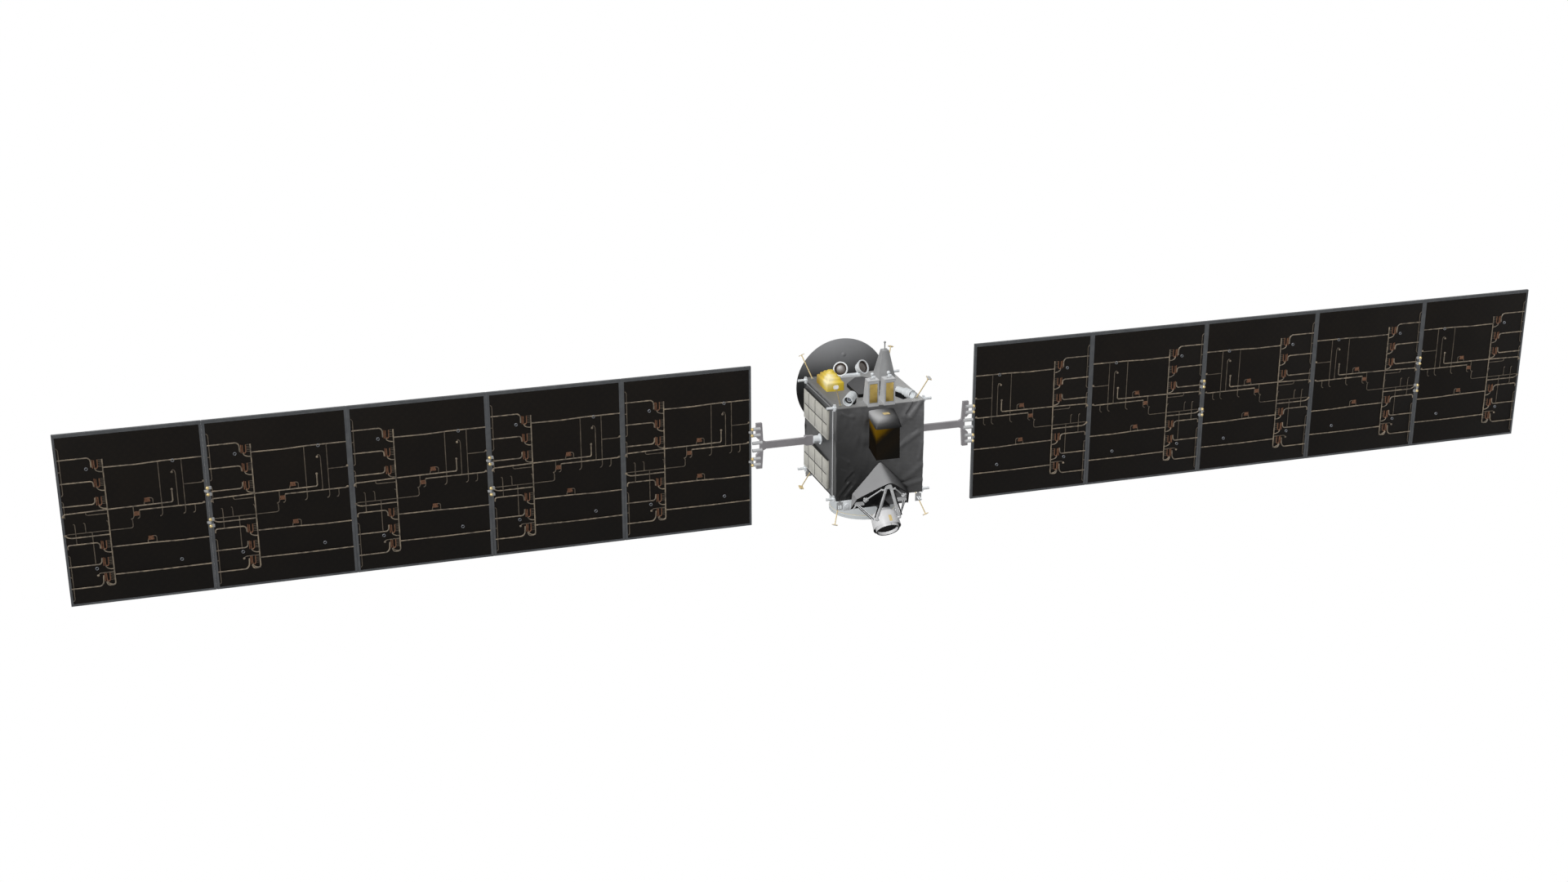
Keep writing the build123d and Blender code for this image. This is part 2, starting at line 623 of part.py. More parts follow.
for side, mirrored in sides:
    with BuildPart() as root_block:
        with BuildSketch(Plane.YZ.offset(can_end + fit_gap)):
            with Locations(((plate_front + plate_back) / 2, wing_height)):
                Rectangle(plate_back - plate_front, 2 * block_half_height)
        extrude(amount=root_hinge_u - can_end - fit_gap)
        with BuildSketch(Plane.YZ.offset(can_end + fit_gap - shaft_length)):
            with Locations((0, wing_height)):
                Circle(shaft_radius)
        extrude(amount=shaft_length + 5)
        # two eyes behind the block carry the pin of the root hinge
        for eye_bottom in (wing_height - 58, wing_height + 20):
            with BuildSketch(Plane.XY.offset(eye_bottom)):
                with Locations((root_hinge_u, root_hinge_y)):
                    Circle(root_eye_radius)
                with BuildLine():
                    Polyline((root_hinge_u - 40, plate_back - 2), (root_hinge_u - face_gap, plate_back - 2),
                             (root_hinge_u - face_gap, root_hinge_y), (root_hinge_u - 14, root_hinge_y + 8),
                             (root_hinge_u - 40, root_hinge_y - 8), close=True)
                make_face()
            extrude(amount=38)
        with BuildSketch(Plane.XY.offset(wing_height - 62)):
            with Locations((root_hinge_u, root_hinge_y)):
                Circle(root_pin_radius)
        extrude(amount=124)
        if mirrored:
            mirror(root_block.part, about=Plane.YZ, mode=Mode.REPLACE)
    root_block.part.label = side + "_root_block"
    export_step(root_block.part, "parts/" + side + "_root_block.step")

    with BuildPart() as yoke:
        with BuildSketch(Plane.XZ.offset(-plate_back)):
            with BuildLine():
                Polyline((root_hinge_u + face_gap, wing_height - block_half_height),
                         (root_hinge_u + 30, wing_height - boom_half_height),
                         (bar_inner_u - 40, wing_height - boom_half_height),
                         (bar_inner_u, wing_height - boom_half_height - 20),
                         (bar_end_inner_u, wing_height - bar_half_height),
                         (bar_outer_u, wing_height - bar_half_height),
                         (bar_outer_u, wing_height - 120),
                         (bar_outer_u - 28, wing_height - 92),
                         (bar_middle_outer_u, wing_height - 92),
                         (bar_middle_outer_u, wing_height + 92),
                         (bar_outer_u - 28, wing_height + 92),
                         (bar_outer_u, wing_height + 120),
                         (bar_outer_u, wing_height + bar_half_height),
                         (bar_end_inner_u, wing_height + bar_half_height),
                         (bar_inner_u, wing_height + boom_half_height + 20),
                         (bar_inner_u - 40, wing_height + boom_half_height),
                         (root_hinge_u + 30, wing_height + boom_half_height),
                         (root_hinge_u + face_gap, wing_height + block_half_height), close=True)
            make_face()
        extrude(amount=plate_back - plate_front)
        # middle eye of the root hinge
        with BuildSketch(Plane.XY.offset(wing_height - 17)):
            with Locations((root_hinge_u, root_hinge_y)):
                Circle(root_eye_radius)
            with BuildLine():
                Polyline((root_hinge_u + 40, plate_back - 2), (root_hinge_u + face_gap, plate_back - 2),
                         (root_hinge_u + face_gap, root_hinge_y), (root_hinge_u + 14, root_hinge_y + 8),
                         (root_hinge_u + 40, root_hinge_y - 8), close=True)
            make_face()
            with Locations((root_hinge_u, root_hinge_y)):
                Circle(root_pin_radius + fit_gap, mode=Mode.SUBTRACT)
        extrude(amount=34)
        if mirrored:
            mirror(yoke.part, about=Plane.YZ, mode=Mode.REPLACE)
    yoke.part.label = side + "_yoke"
    export_step(yoke.part, "parts/" + side + "_yoke.step")

    with BuildPart() as yoke_rods:
        for centre in hinge_heights:
            for offset in (-ball_offset, ball_offset):
                strut((rod_start_u, rod_y, centre + offset),
                      (wing_inner_u - socket_setback, rod_y, centre + offset), rod_radius)
                with Locations((wing_inner_u, yoke_hinge_y, centre + offset)):
                    Sphere(ball_radius + fit_gap, mode=Mode.SUBTRACT)
        for offset in (-middle_rod_offset, middle_rod_offset):
            strut((bar_inner_u + 20, plate_front - 10, wing_height + offset),
                  (wing_inner_u - 4, plate_front - 10, wing_height + offset), middle_rod_radius)
        add(mirror(yoke.part, about=Plane.YZ, mode=Mode.PRIVATE) if mirrored else yoke.part, mode=Mode.SUBTRACT)
        if mirrored:
            mirror(yoke_rods.part, about=Plane.YZ, mode=Mode.REPLACE)
    yoke_rods.part.label = side + "_yoke_rods"
    export_step(yoke_rods.part, "parts/" + side + "_yoke_rods.step")

    for number in range(1, panel_count + 1):
        inner_u = wing_inner_u + (number - 1) * panel_pitch
        outer_u = inner_u + panel_pitch
        with BuildPart() as panel:
            with Locations((inner_u + panel_seam / 2, 0, wing_height)):
                Box(panel_pitch - panel_seam, panel_thickness, panel_tall,
                    align=(Align.MIN, Align.CENTER, Align.CENTER))
            if mirrored:
                mirror(panel.part, about=Plane.YZ, mode=Mode.REPLACE)
        panel.part.label = side + "_panel_" + str(number)
        export_step(panel.part, "parts/" + side + "_panel_" + str(number) + ".step")

        # hinges of this panel: pins on its inner line, sockets or eyes on its outer line
        if number == 1:
            pin_y = yoke_hinge_y
        elif number % 2 == 1:
            pin_y = front_hinge_y
        else:
            pin_y = back_hinge_y
        pin_side = 1 if pin_y > 0 else -1
        pin_half = ball_offset if pin_y < 0 else ball_offset + eye_length / 2
        eye_y = back_hinge_y if number % 2 == 1 else front_hinge_y
        with BuildPart() as panel_hinges:
            for centre in hinge_heights:
                strut((inner_u, pin_y, centre - pin_half), (inner_u, pin_y, centre + pin_half), pin_radius)
                if pin_y < 0:
                    with Locations((inner_u, pin_y, centre - ball_offset), (inner_u, pin_y, centre + ball_offset)):
                        Sphere(ball_radius)
                with BuildSketch(Plane.XY.offset(centre - lug_half_height)):
                    with Locations((inner_u, pin_y)):
                        Circle(pin_radius + 3)
                    with BuildLine():
                        Polyline((inner_u, pin_y + pin_side * (pin_radius + 2)),
                                 (inner_u + lug_reach, pin_side * panel_half_thickness),
                                 (inner_u + panel_seam / 2, pin_side * panel_half_thickness),
                                 (inner_u, pin_y), close=True)
                    make_face()
                extrude(amount=2 * lug_half_height)
                if number == panel_count:
                    continue
                for eye_centre in (centre - ball_offset, centre + ball_offset):
                    if eye_y > 0:
                        with BuildSketch(Plane.XY.offset(eye_centre - eye_length / 2)):
                            with Locations((outer_u, eye_y)):
                                Circle(eye_radius)
                            with BuildLine():
                                Polyline((outer_u, eye_y + eye_radius - 2),
                                         (outer_u - lug_reach, panel_half_thickness),
                                         (outer_u - panel_seam / 2, panel_half_thickness),
                                         (outer_u, eye_y), close=True)
                            make_face()
                            with Locations((outer_u, eye_y)):
                                Circle(pin_radius + fit_gap, mode=Mode.SUBTRACT)
                        extrude(amount=eye_length)
                    else:
                        with Locations((outer_u - socket_setback, -panel_half_thickness, eye_centre)):
                            Box(34, socket_depth, 28, align=(Align.MAX, Align.MAX, Align.CENTER))
                        with Locations((outer_u, eye_y, eye_centre)):
                            Sphere(ball_radius + fit_gap, mode=Mode.SUBTRACT)
            if mirrored:
                mirror(panel_hinges.part, about=Plane.YZ, mode=Mode.REPLACE)
        panel_hinges.part.label = side + "_hinges_" + str(number)
        export_step(panel_hinges.part, "parts/" + side + "_hinges_" + str(number) + ".step")
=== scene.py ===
import math

import bmesh
import bpy
import numpy as np
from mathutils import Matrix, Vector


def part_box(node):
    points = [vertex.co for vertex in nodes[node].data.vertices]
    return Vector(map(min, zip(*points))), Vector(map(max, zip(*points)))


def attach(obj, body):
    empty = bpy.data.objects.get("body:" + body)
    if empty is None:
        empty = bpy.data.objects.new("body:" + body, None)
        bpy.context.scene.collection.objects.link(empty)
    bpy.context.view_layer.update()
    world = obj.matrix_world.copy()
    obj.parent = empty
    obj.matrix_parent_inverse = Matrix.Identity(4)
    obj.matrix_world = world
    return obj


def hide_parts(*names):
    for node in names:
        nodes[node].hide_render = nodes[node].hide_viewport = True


# Deep-space probe with two long solar wings. Metres, X along the wings, -Y the front, Z up.
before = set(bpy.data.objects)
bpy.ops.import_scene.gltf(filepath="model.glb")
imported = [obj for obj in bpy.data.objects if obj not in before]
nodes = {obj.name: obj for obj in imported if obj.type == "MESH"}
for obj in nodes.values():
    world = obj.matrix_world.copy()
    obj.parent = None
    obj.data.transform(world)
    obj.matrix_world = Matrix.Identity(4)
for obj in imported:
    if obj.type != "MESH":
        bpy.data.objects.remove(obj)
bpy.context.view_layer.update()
print("frame loaded:", len(nodes), "nodes")

# the same places and sizes that the solids use
towerPlace = -sum(corner[0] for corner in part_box("antenna_tower")) / 2
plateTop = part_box("deck_plate")[1][2]
bus = {"halfWidth": 0.578, "halfDepth": 0.637, "bottom": 0.390, "top": 1.630}
wing = {"axis": 1.010, "inner": 1.503, "outer": 9.850, "count": 5, "tall": 2.136, "halfThick": 0.018}
wing["pitch"] = (wing["outer"] - wing["inner"]) / wing["count"]
sides = {"left": -1, "right": 1}
ends = {"front": 1, "back": -1}  # the front shapes are the model of the back ones, mirrored in Y

# camera, light and floor come first
view = {"place": (-8.967, -24.774, 10.540), "tilt": 20.081, "turn": 17.682, "lens": 50, "sensor": 36, "clip": 300}
light = {"keyWay": (-0.62, -0.36, 0.78), "key": 2.75, "keySoft": 9, "rightWay": (0.75, -0.65, 0.1), "right": 0.35,
         "rightSoft": 25, "ambient": 0.16, "floorHeight": -7.0, "floorRadius": 90, "floorSteps": 64}

scene = bpy.context.scene
scene.view_settings.view_transform = "Standard"
cameraData = bpy.data.cameras.new("viewCamera")
cameraData.lens = view["lens"]
cameraData.sensor_width = view["sensor"]
cameraData.clip_end = view["clip"]
camera = bpy.data.objects.new("viewCamera", cameraData)
camera.location = view["place"]
camera.rotation_euler = (math.radians(90 - view["tilt"]), 0, math.radians(-view["turn"]))
scene.collection.objects.link(camera)
scene.camera = camera


def sunFrom(name, way, strength, soft):
    # a lamp that shines from a direction, with a wide soft disc and, as in the photo, no cast shadows
    data = bpy.data.lights.new(name, "SUN")
    data.use_shadow = False
    data.energy = strength
    data.angle = math.radians(soft)
    lamp = bpy.data.objects.new(name, data)
    lamp.rotation_euler = (0, math.atan2(math.hypot(way[0], way[1]), way[2]), math.atan2(way[1], way[0]))
    scene.collection.objects.link(lamp)


sunFrom("keyLamp", light["keyWay"], light["key"], light["keySoft"])
sunFrom("rightLamp", light["rightWay"], light["right"], light["rightSoft"])


def linear(hexColour):
    # sRGB hex to linear, the usual curve on each channel
    parts = np.array([int(hexColour[i:i + 2], 16) for i in (1, 3, 5)]) / 255
    flat = np.where(parts <= 0.04045, parts / 12.92, ((parts + 0.055) / 1.055) ** 2.4)
    return (*flat.tolist(), 1)


def addNode(tree, kind, settings):
    # a setting that is a node (its first output) or a socket is linked, any other is a constant or a property
    node = tree.nodes.new("ShaderNode" + kind)
    for key, value in settings.items():
        if isinstance(value, bpy.types.Node):
            value = value.outputs[0]
        if isinstance(value, bpy.types.NodeSocket):
            tree.links.new(value, node.inputs[key])
        elif key == "stops":
            ramp = node.color_ramp.elements
            while len(ramp) < len(value):
                ramp.new(0.5)
            for stop, (place, colour) in zip(ramp, value):
                stop.position = place
                stop.color = linear(colour)
        elif isinstance(key, int) or key in node.inputs:
            node.inputs[key].default_value = value
        else:
            setattr(node, key, value)
    return node


def perMetre(millimetres):
    return 1000 / millimetres


waveOwn = 20  # a wave texture multiplies its scale by this itself


def whiteRays(tree):
    # 1 for rays that show the background itself: straight to the camera, by reflection or through glass
    rays = addNode(tree, "LightPath", {}).outputs
    straight = addNode(tree, "Math", {"operation": "MAXIMUM", 0: rays["Is Camera Ray"], 1: rays["Is Transmission Ray"]})
    return addNode(tree, "Math", {"operation": "MAXIMUM", 0: straight, 1: rays["Is Glossy Ray"]})


def newMaterial(name):
    material = bpy.data.materials.new(name)
    material.use_nodes = True
    material.node_tree.nodes.clear()
    return material, material.node_tree


white = linear("#ffffff")
world = bpy.data.worlds.new("studioWorld")
world.use_nodes = True
scene.world = world
tree = world.node_tree
tree.nodes.clear()
ambient = addNode(tree, "Background", {"Color": white, "Strength": light["ambient"]})
plain = addNode(tree, "Background", {"Color": white, "Strength": 1.0})
mix = addNode(tree, "MixShader", {0: whiteRays(tree), 1: ambient, 2: plain})
addNode(tree, "OutputWorld", {"Surface": mix})

# studio floor: pale matt board, far below the held probe
floorMaterial, tree = newMaterial("paleFloorBoard")
board = addNode(tree, "BsdfPrincipled", {"Base Color": linear("#7d7d7d"), "Roughness": 0.9})
glow = addNode(tree, "Emission", {"Color": white, "Strength": 1.0})
mix = addNode(tree, "MixShader", {0: whiteRays(tree), 1: board, 2: glow})
addNode(tree, "OutputMaterial", {"Surface": mix})


# shapes as arrays
def gridQuads(rows, cols, wrapRows=False, wrapCols=False):
    # every cell of a rows x cols grid of points is one quad
    row, col = np.meshgrid(np.arange(rows if wrapRows else rows - 1),
                           np.arange(cols if wrapCols else cols - 1), indexing="ij")
    nextRow, nextCol = (row + 1) % rows, (col + 1) % cols
    quads = np.stack([row * cols + col, row * cols + nextCol, nextRow * cols + nextCol, nextRow * cols + col], -1)
    return quads.reshape(-1, 4).tolist()


def capped(rows, cols, wrapRows=False):
    # a grid that goes round in its columns, with its first and last row filled
    last = (rows - 1) * cols
    return gridQuads(rows, cols, wrapRows, True) + [list(range(cols)), list(range(last, last + cols))]


def fullTurn(steps):
    return np.linspace(0, 2 * np.pi, steps, endpoint=False)


def unit(vectors):
    return vectors / np.linalg.norm(vectors, axis=-1, keepdims=True)


def roundedRun(corners, bend, steps=5):
    # straight legs; each corner is the parabola (1-t)^2 A + 2t(1-t) corner + t^2 C between points on its legs
    p = np.asarray(corners, float)
    if len(p) < 3:
        return p
    into, out = p[1:-1] - p[:-2], p[2:] - p[1:-1]
    lengthIn = np.linalg.norm(into, axis=1, keepdims=True)
    lengthOut = np.linalg.norm(out, axis=1, keepdims=True)
    cut = np.minimum(bend, 0.45 * np.minimum(lengthIn, lengthOut))
    a, c = p[1:-1] - into / lengthIn * cut, p[1:-1] + out / lengthOut * cut
    t = np.linspace(0, 1, steps)[None, :, None]
    arcs = (1 - t) ** 2 * a[:, None] + 2 * t * (1 - t) * p[1:-1, None] + t ** 2 * c[:, None]
    return np.vstack([p[:1], arcs.reshape(-1, 3), p[-1:]])


def sweep(path, radius, up, sidesCount=8, flat=1.0):
    # an ellipse carried along the path: side = run x up, over = side x run, point = path + r(cos side + flat sin over)
    path = np.asarray(path, float)
    run = unit(np.gradient(path, axis=0))
    side = unit(np.cross(run, np.asarray(up, float)))
    over = np.cross(side, run)
    turn = fullTurn(sidesCount)[None, :, None]
    size = np.broadcast_to(np.asarray(radius, float), (len(path),))[:, None, None]
    points = path[:, None] + size * (np.cos(turn) * side[:, None] + flat * np.sin(turn) * over[:, None])
    return points.reshape(-1, 3), capped(len(path), sidesCount)


def revolve(profile, origin, axis, steps=48, closed=True, arc=None):
    # each profile pair (radius, height) goes round the axis: origin + height*axis + radius*(cos e1 + sin e2)
    profile = np.asarray(profile, float)
    axis = unit(np.asarray(axis, float))
    helper = np.array([1.0, 0, 0]) if abs(axis[0]) < 0.9 else np.array([0, 1.0, 0])
    e1 = unit(np.cross(axis, np.cross(helper, axis)))
    e2 = np.cross(axis, e1)
    turn = (fullTurn(steps) if arc is None else np.linspace(arc[0], arc[1], steps))[None, :, None]
    points = (np.asarray(origin, float) + profile[:, 1, None, None] * axis
              + profile[:, 0, None, None] * (np.cos(turn) * e1 + np.sin(turn) * e2)).reshape(-1, 3)
    if arc is not None:
        first = [row * steps for row in range(len(profile))]
        return points, gridQuads(len(profile), steps, wrapRows=closed) + [first, [i + steps - 1 for i in first]]
    return points, gridQuads(len(profile), steps, True, True) if closed else capped(len(profile), steps)


def softBlocks(centres, halves, edge, turns=None):
    # blocks with rounded corners: one rounded rectangle at four heights, the end ones drawn in by the edge width
    centres = np.atleast_2d(np.asarray(centres, float))
    halves = np.broadcast_to(np.asarray(halves, float), centres.shape)
    angle = np.radians([0, 45, 90, 90, 135, 180, 180, 225, 270, 270, 315, 360])
    rim = np.array([0.3, 1.0, 1.0, 0.3])[:, None] * edge
    height = np.stack([-halves[:, 2], edge - halves[:, 2], halves[:, 2] - edge, halves[:, 2]], 1)
    x = (halves[:, 0] - edge)[:, None, None] * np.repeat([1, -1, -1, 1], 3) + rim * np.cos(angle)
    y = (halves[:, 1] - edge)[:, None, None] * np.repeat([1, 1, -1, -1], 3) + rim * np.sin(angle)
    local = np.stack([x, y, np.broadcast_to(height[:, :, None], x.shape)], -1)
    if turns is not None:
        local = np.einsum("bij,brcj->brci", np.broadcast_to(turns, (len(centres), 3, 3)), local)
    points = (centres[:, None, None] + local).reshape(-1, 3)
    return points, [[i + 48 * block for i in face] for block in range(len(centres)) for face in capped(4, 12)]


def closedSheet(rows):
    # a grid of points whose last row meets its first, with both open ends filled
    rowCount, colCount = rows.shape[:2]
    first = [r * colCount for r in range(rowCount)]
    return (rows.reshape(-1, 3),
            gridQuads(rowCount, colCount, wrapRows=True) + [first, [i + colCount - 1 for i in first]])


def joined(shapes):
    points, faces, start = [], [], 0
    for shapePoints, shapeFaces in shapes:
        points.append(np.asarray(shapePoints))
        faces += [[i + start for i in face] for face in shapeFaces]
        start += len(shapePoints)
    return np.vstack(points), faces


def makePiece(name, shapes, material, body="bus", angle=35, wall=None):
    # one mesh of one or more shapes on its body; edges sharper than the angle stay crisp, a wall thickens a sheet
    points, faces = joined(shapes if isinstance(shapes, list) else [shapes])
    mesh = bpy.data.meshes.new(name)
    mesh.from_pydata(points.tolist(), [], faces)
    if wall is None:
        shell = bmesh.new()
        shell.from_mesh(mesh)
        bmesh.ops.remove_doubles(shell, verts=shell.verts, dist=1e-6)
        bmesh.ops.recalc_face_normals(shell, faces=shell.faces)
        shell.to_mesh(mesh)
        shell.free()
    mesh.polygons.foreach_set("use_smooth", np.ones(len(mesh.polygons), bool))
    mesh.set_sharp_from_angle(angle=math.radians(angle))
    mesh.materials.append(material)
    piece = bpy.data.objects.new(name, mesh)
    scene.collection.objects.link(piece)
    if wall is not None:
        thick = piece.modifiers.new("wall", "SOLIDIFY")
        thick.thickness = wall
        thick.offset = -1
    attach(piece, body)
    return piece


turn = fullTurn(light["floorSteps"])
across, along = light["floorRadius"] * np.cos(turn), light["floorRadius"] * np.sin(turn)
rim = np.stack([across, along, np.full(len(turn), light["floorHeight"])], 1)
floorMesh = bpy.data.meshes.new("studioFloor")
floorMesh.from_pydata(rim.tolist(), [], [list(range(len(turn)))])
floorMesh.materials.append(floorMaterial)
studioFloor = bpy.data.objects.new("studioFloor", floorMesh)
scene.collection.objects.link(studioFloor)
print("camera, light and floor set")


# materials
def objectGrain(tree, millimetres, detail=4, roughness=0.55, stretch=(1, 1, 1)):
    # noise on object coordinates, its largest grain the given size
    placed = addNode(tree, "Mapping", {"Scale": stretch, "Vector": addNode(tree, "TexCoord", {}).outputs["Object"]})
    return addNode(tree, "TexNoise", {"Scale": perMetre(millimetres), "Detail": detail, "Roughness": roughness,
                                      "Vector": placed})


def coated(tree, settings):
    # the shader and the material's output
    addNode(tree, "OutputMaterial", {"Surface": addNode(tree, "BsdfPrincipled", settings)})


def fadedColour(tree, tone, fade):
    # the colour times a ramp of one measure: the distance along a way, the lean of a soft form towards it
    # (the direction out of its centre, dotted with the way), or the stretched distance from a point
    if fade is None:
        return tone
    place = addNode(tree, "TexCoord", {}).outputs["Object"]
    if fade.get("bothEnds"):
        place = addNode(tree, "VectorMath", {"operation": "ABSOLUTE", 0: place})
    if "centre" in fade:
        arm = addNode(tree, "VectorMath", {"operation": "SUBTRACT", 0: place, 1: fade["centre"]})
        place = addNode(tree, "VectorMath", {"operation": "NORMALIZE", 0: arm})
    if "point" in fade:
        arm = addNode(tree, "VectorMath", {"operation": "SUBTRACT", 0: place, 1: fade["point"]})
        long = addNode(tree, "VectorMath", {"operation": "MULTIPLY", 0: arm, 1: fade["stretch"]})
        measure = addNode(tree, "VectorMath", {"operation": "LENGTH", 0: long})
    else:
        measure = addNode(tree, "VectorMath", {"operation": "DOT_PRODUCT", 0: place, 1: fade["way"]})
    share = addNode(tree, "MapRange", {"From Min": fade["from"], "From Max": fade["to"],
                                       "Value": measure.outputs["Value"]})
    ramp = addNode(tree, "ValToRGB", {"stops": fade["stops"], "Fac": share})
    return addNode(tree, "VectorMath", {"operation": "MULTIPLY", 0: tone, 1: ramp})


def paintedFinish(name, pale, dark, roughness, grainMm, peelMm, peelDepth, metallic=0.0, coat=0.0, shine=0.3,
                  fade=None):
    # sprayed coat: broad tone change, finer orange peel in the bump, roughness that follows the tone
    material, tree = newMaterial(name)
    broad = objectGrain(tree, grainMm, 5)
    tone = addNode(tree, "ValToRGB", {"stops": [(0.32, dark), (0.68, pale)], "Fac": broad})
    rough = addNode(tree, "MapRange", {"To Min": roughness - 0.07, "To Max": roughness + 0.07, "Value": broad})
    peel = objectGrain(tree, peelMm, 3)
    bump = addNode(tree, "Bump", {"Strength": 0.35, "Distance": peelDepth, "Height": peel})
    coated(tree, {"Metallic": metallic, "Coat Weight": coat, "Specular IOR Level": shine,
                  "Base Color": fadedColour(tree, tone, fade), "Roughness": rough, "Normal": bump})
    return material


def crinkledFilm(name, pale, dark, roughness, creaseMm, creaseDepth, shine=0.3, fade=None):
    # thin film over padding: sharp little creases from cell edges, soft billows from noise
    material, tree = newMaterial(name)
    broad = objectGrain(tree, 6 * creaseMm, 4, 0.5)
    tone = addNode(tree, "ValToRGB", {"stops": [(0.3, dark), (0.72, pale)], "Fac": broad})
    warp = objectGrain(tree, 2.5 * creaseMm, 3, 0.5)
    bent = addNode(tree, "VectorMath", {"operation": "MULTIPLY_ADD", 0: warp.outputs["Color"], 1: (0.04, 0.04, 0.04),
                                        2: addNode(tree, "TexCoord", {}).outputs["Object"]})
    creases = addNode(tree, "TexVoronoi", {"feature": "DISTANCE_TO_EDGE", "Scale": perMetre(2 * creaseMm),
                                           "Vector": bent})
    sharp = addNode(tree, "Bump", {"Strength": 0.25, "Distance": creaseDepth, "Height": creases})
    billow = addNode(tree, "Bump", {"Strength": 0.5, "Distance": 3 * creaseDepth, "Height": broad, "Normal": sharp})
    rough = addNode(tree, "MapRange", {"To Min": roughness - 0.08, "To Max": roughness + 0.1, "Value": broad})
    coated(tree, {"Specular IOR Level": shine, "Base Color": fadedColour(tree, tone, fade), "Roughness": rough,
                  "Normal": billow})
    return material


# painted light and shade: how the light falls off along some surfaces, in metres of the object; the mast ramp alone is
# grey paint on its foot pads
fades = {
    "blanket": {"way": (1, 0, 0.9), "from": 0.0, "to": 1.9,
                "stops": [(0.0, "#272727"), (0.2, "#5e5e5e"), (0.3, "#777777"), (0.54, "#bcbcbc"), (0.83, "#dcdcdc"),
                          (1.0, "#f9f9f9")]},
    "deck": {"way": (1, -0.25, 0), "from": -0.5, "to": 0.65,
             "stops": [(0.0, "#a8a8a8"), (0.5, "#e0e0e0"), (1.0, "#ffffff")]},
    "wall": {"way": (0, -1, 0), "from": -0.45, "to": 0.50,
             "stops": [(0.0, "#1c1c1c"), (0.5, "#747474"), (1.0, "#ffffff")]},
    "dish": {"way": (0, 0, 1), "from": 0.80, "to": 2.03,
             "stops": [(0.0, "#202020"), (0.42, "#151515"), (0.62, "#5c5c5c"), (1.0, "#ffffff")]},
    "hood": {"point": (-0.13, -0.90, 1.56), "stretch": (0.8, 0.25, 1.67), "from": 0.0, "to": 0.36,
             "stops": [(0.0, "#fafafa"), (0.14, "#d9d9d9"), (0.27, "#b0b0b0"), (0.42, "#787878"), (0.58, "#515151"),
                       (0.72, "#383838"), (0.90, "#101010")]},
    "shade": {"way": (-1, 0, 0), "from": -0.33, "to": 0.05, "stops": [(0.0, "#3c3c3c"), (1.0, "#ffffff")]},
    "tent": {"way": (1, 0, -2), "from": -0.69, "to": -0.57, "stops": [(0.0, "#4a4a4a"), (1.0, "#ffffff")]},
    "tower": {"way": (-1, 0, 0), "from": towerPlace - 0.04, "to": towerPlace + 0.02,
              "stops": [(0.0, "#d4d4d4"), (1.0, "#ffffff")]},
    "plate": {"way": (0, 0, 1), "from": plateTop - 0.006, "to": plateTop - 0.002,
              "stops": [(0.0, "#484848"), (1.0, "#ffffff")]},
    "mounts": {"bothEnds": True, "point": (0, 0.735, 0.313), "stretch": (1, 1, 1), "from": 0.122, "to": 0.127,
               "stops": [(0.0, "#202020"), (1.0, "#ffffff")]},
    "mast": {"point": (0, 0, 1.010), "stretch": (0, 0, 1), "from": 0.631, "to": 0.635,
             "stops": [(0.0, "#a6b8e6"), (1.0, "#ffffff")]},
    "gold": {"centre": (-0.3825, 0.204, 1.68), "way": (-0.468, -0.665, 0.581), "from": -0.3, "to": 1.0,
             "stops": [(0.0, "#ac8a10"), (0.54, "#dcbe30"), (0.76, "#e6cb46"), (0.88, "#f4de84"), (0.96, "#fff3c4")]},
}
# carbon-filled polyimide film over padding: dark, half dull, fine creases catch the light; painted shade makes it
# darkest at the lower left, and a painted highlight lightens it towards the upper right
blanketFilm = crinkledFilm("carbonFilledBlanket", "#767677", "#686869", 0.42, 22, 0.0012, 0.25, fades["blanket"])
# the same film on the deck, laid flatter and greyer from dust-proof coating; painted light makes it darker at its left
# and lighter towards its right
deckFilm = crinkledFilm("coatedDeckFilm", "#b2b2b1", "#a8a8a7", 0.5, 60, 0.0003, 0.2, fades["deck"])
# inside film of the blanket, black and dull
blackFilm = crinkledFilm("blackBlanketBack", "#1d1d1e", "#131314", 0.6, 24, 0.0010, 0.1)
# gold film over the stepped box: yellow, small puckers, and a painted highlight that pales it where its faces turn
# towards the lamp, most at the front left, with deeper gold on the far side
goldFilm = crinkledFilm("goldPolyimideFilm", "#ffffff", "#f4f1e6", 0.42, 60, 0.0002, 0.35, fades["gold"])
# smooth painted honeycomb skin of the side walls; painted shade makes it nearly black towards the dish and lighter
# towards the front
wallSkin = paintedFinish("paintedWallSkin", "#606162", "#535455", 0.42, 260, 14, 0.0002, shine=0.2, fade=fades["wall"])
# instrument plate on the deck: dark coat over a machined plate, with painted shade darkening its sides below the top
plateCoat = paintedFinish("darkPlateCoat", "#4d4d4e", "#434344", 0.45, 120, 6, 0.0001, shine=0.15, fade=fades["plate"])
# white thermal paint: matt, very slightly warm dust; chalkier on the launch ring, flat on lids and plates
whitePaint = paintedFinish("whiteThermalPaint", "#e9ecee", "#dde1e4", 0.5, 120, 5, 0.00015)
ringPaint = paintedFinish("chalkyRingPaint", "#d8dcde", "#ced3d5", 0.6, 260, 8, 0.0001)
palePaint = paintedFinish("palePaint", "#d6d7d8", "#cacbcc", 0.45, 80, 4, 0.0001)
# grey conductive paint on boxes, and on the tower, where painted shade darkens the side turned away from the lamp
greyPaint = paintedFinish("greyConductivePaint", "#a9aaab", "#9b9c9d", 0.45, 140, 6, 0.00015)
towerPaint = paintedFinish("greyTowerPaint", "#a9aaab", "#9b9c9d", 0.45, 140, 6, 0.00015, fade=fades["tower"])
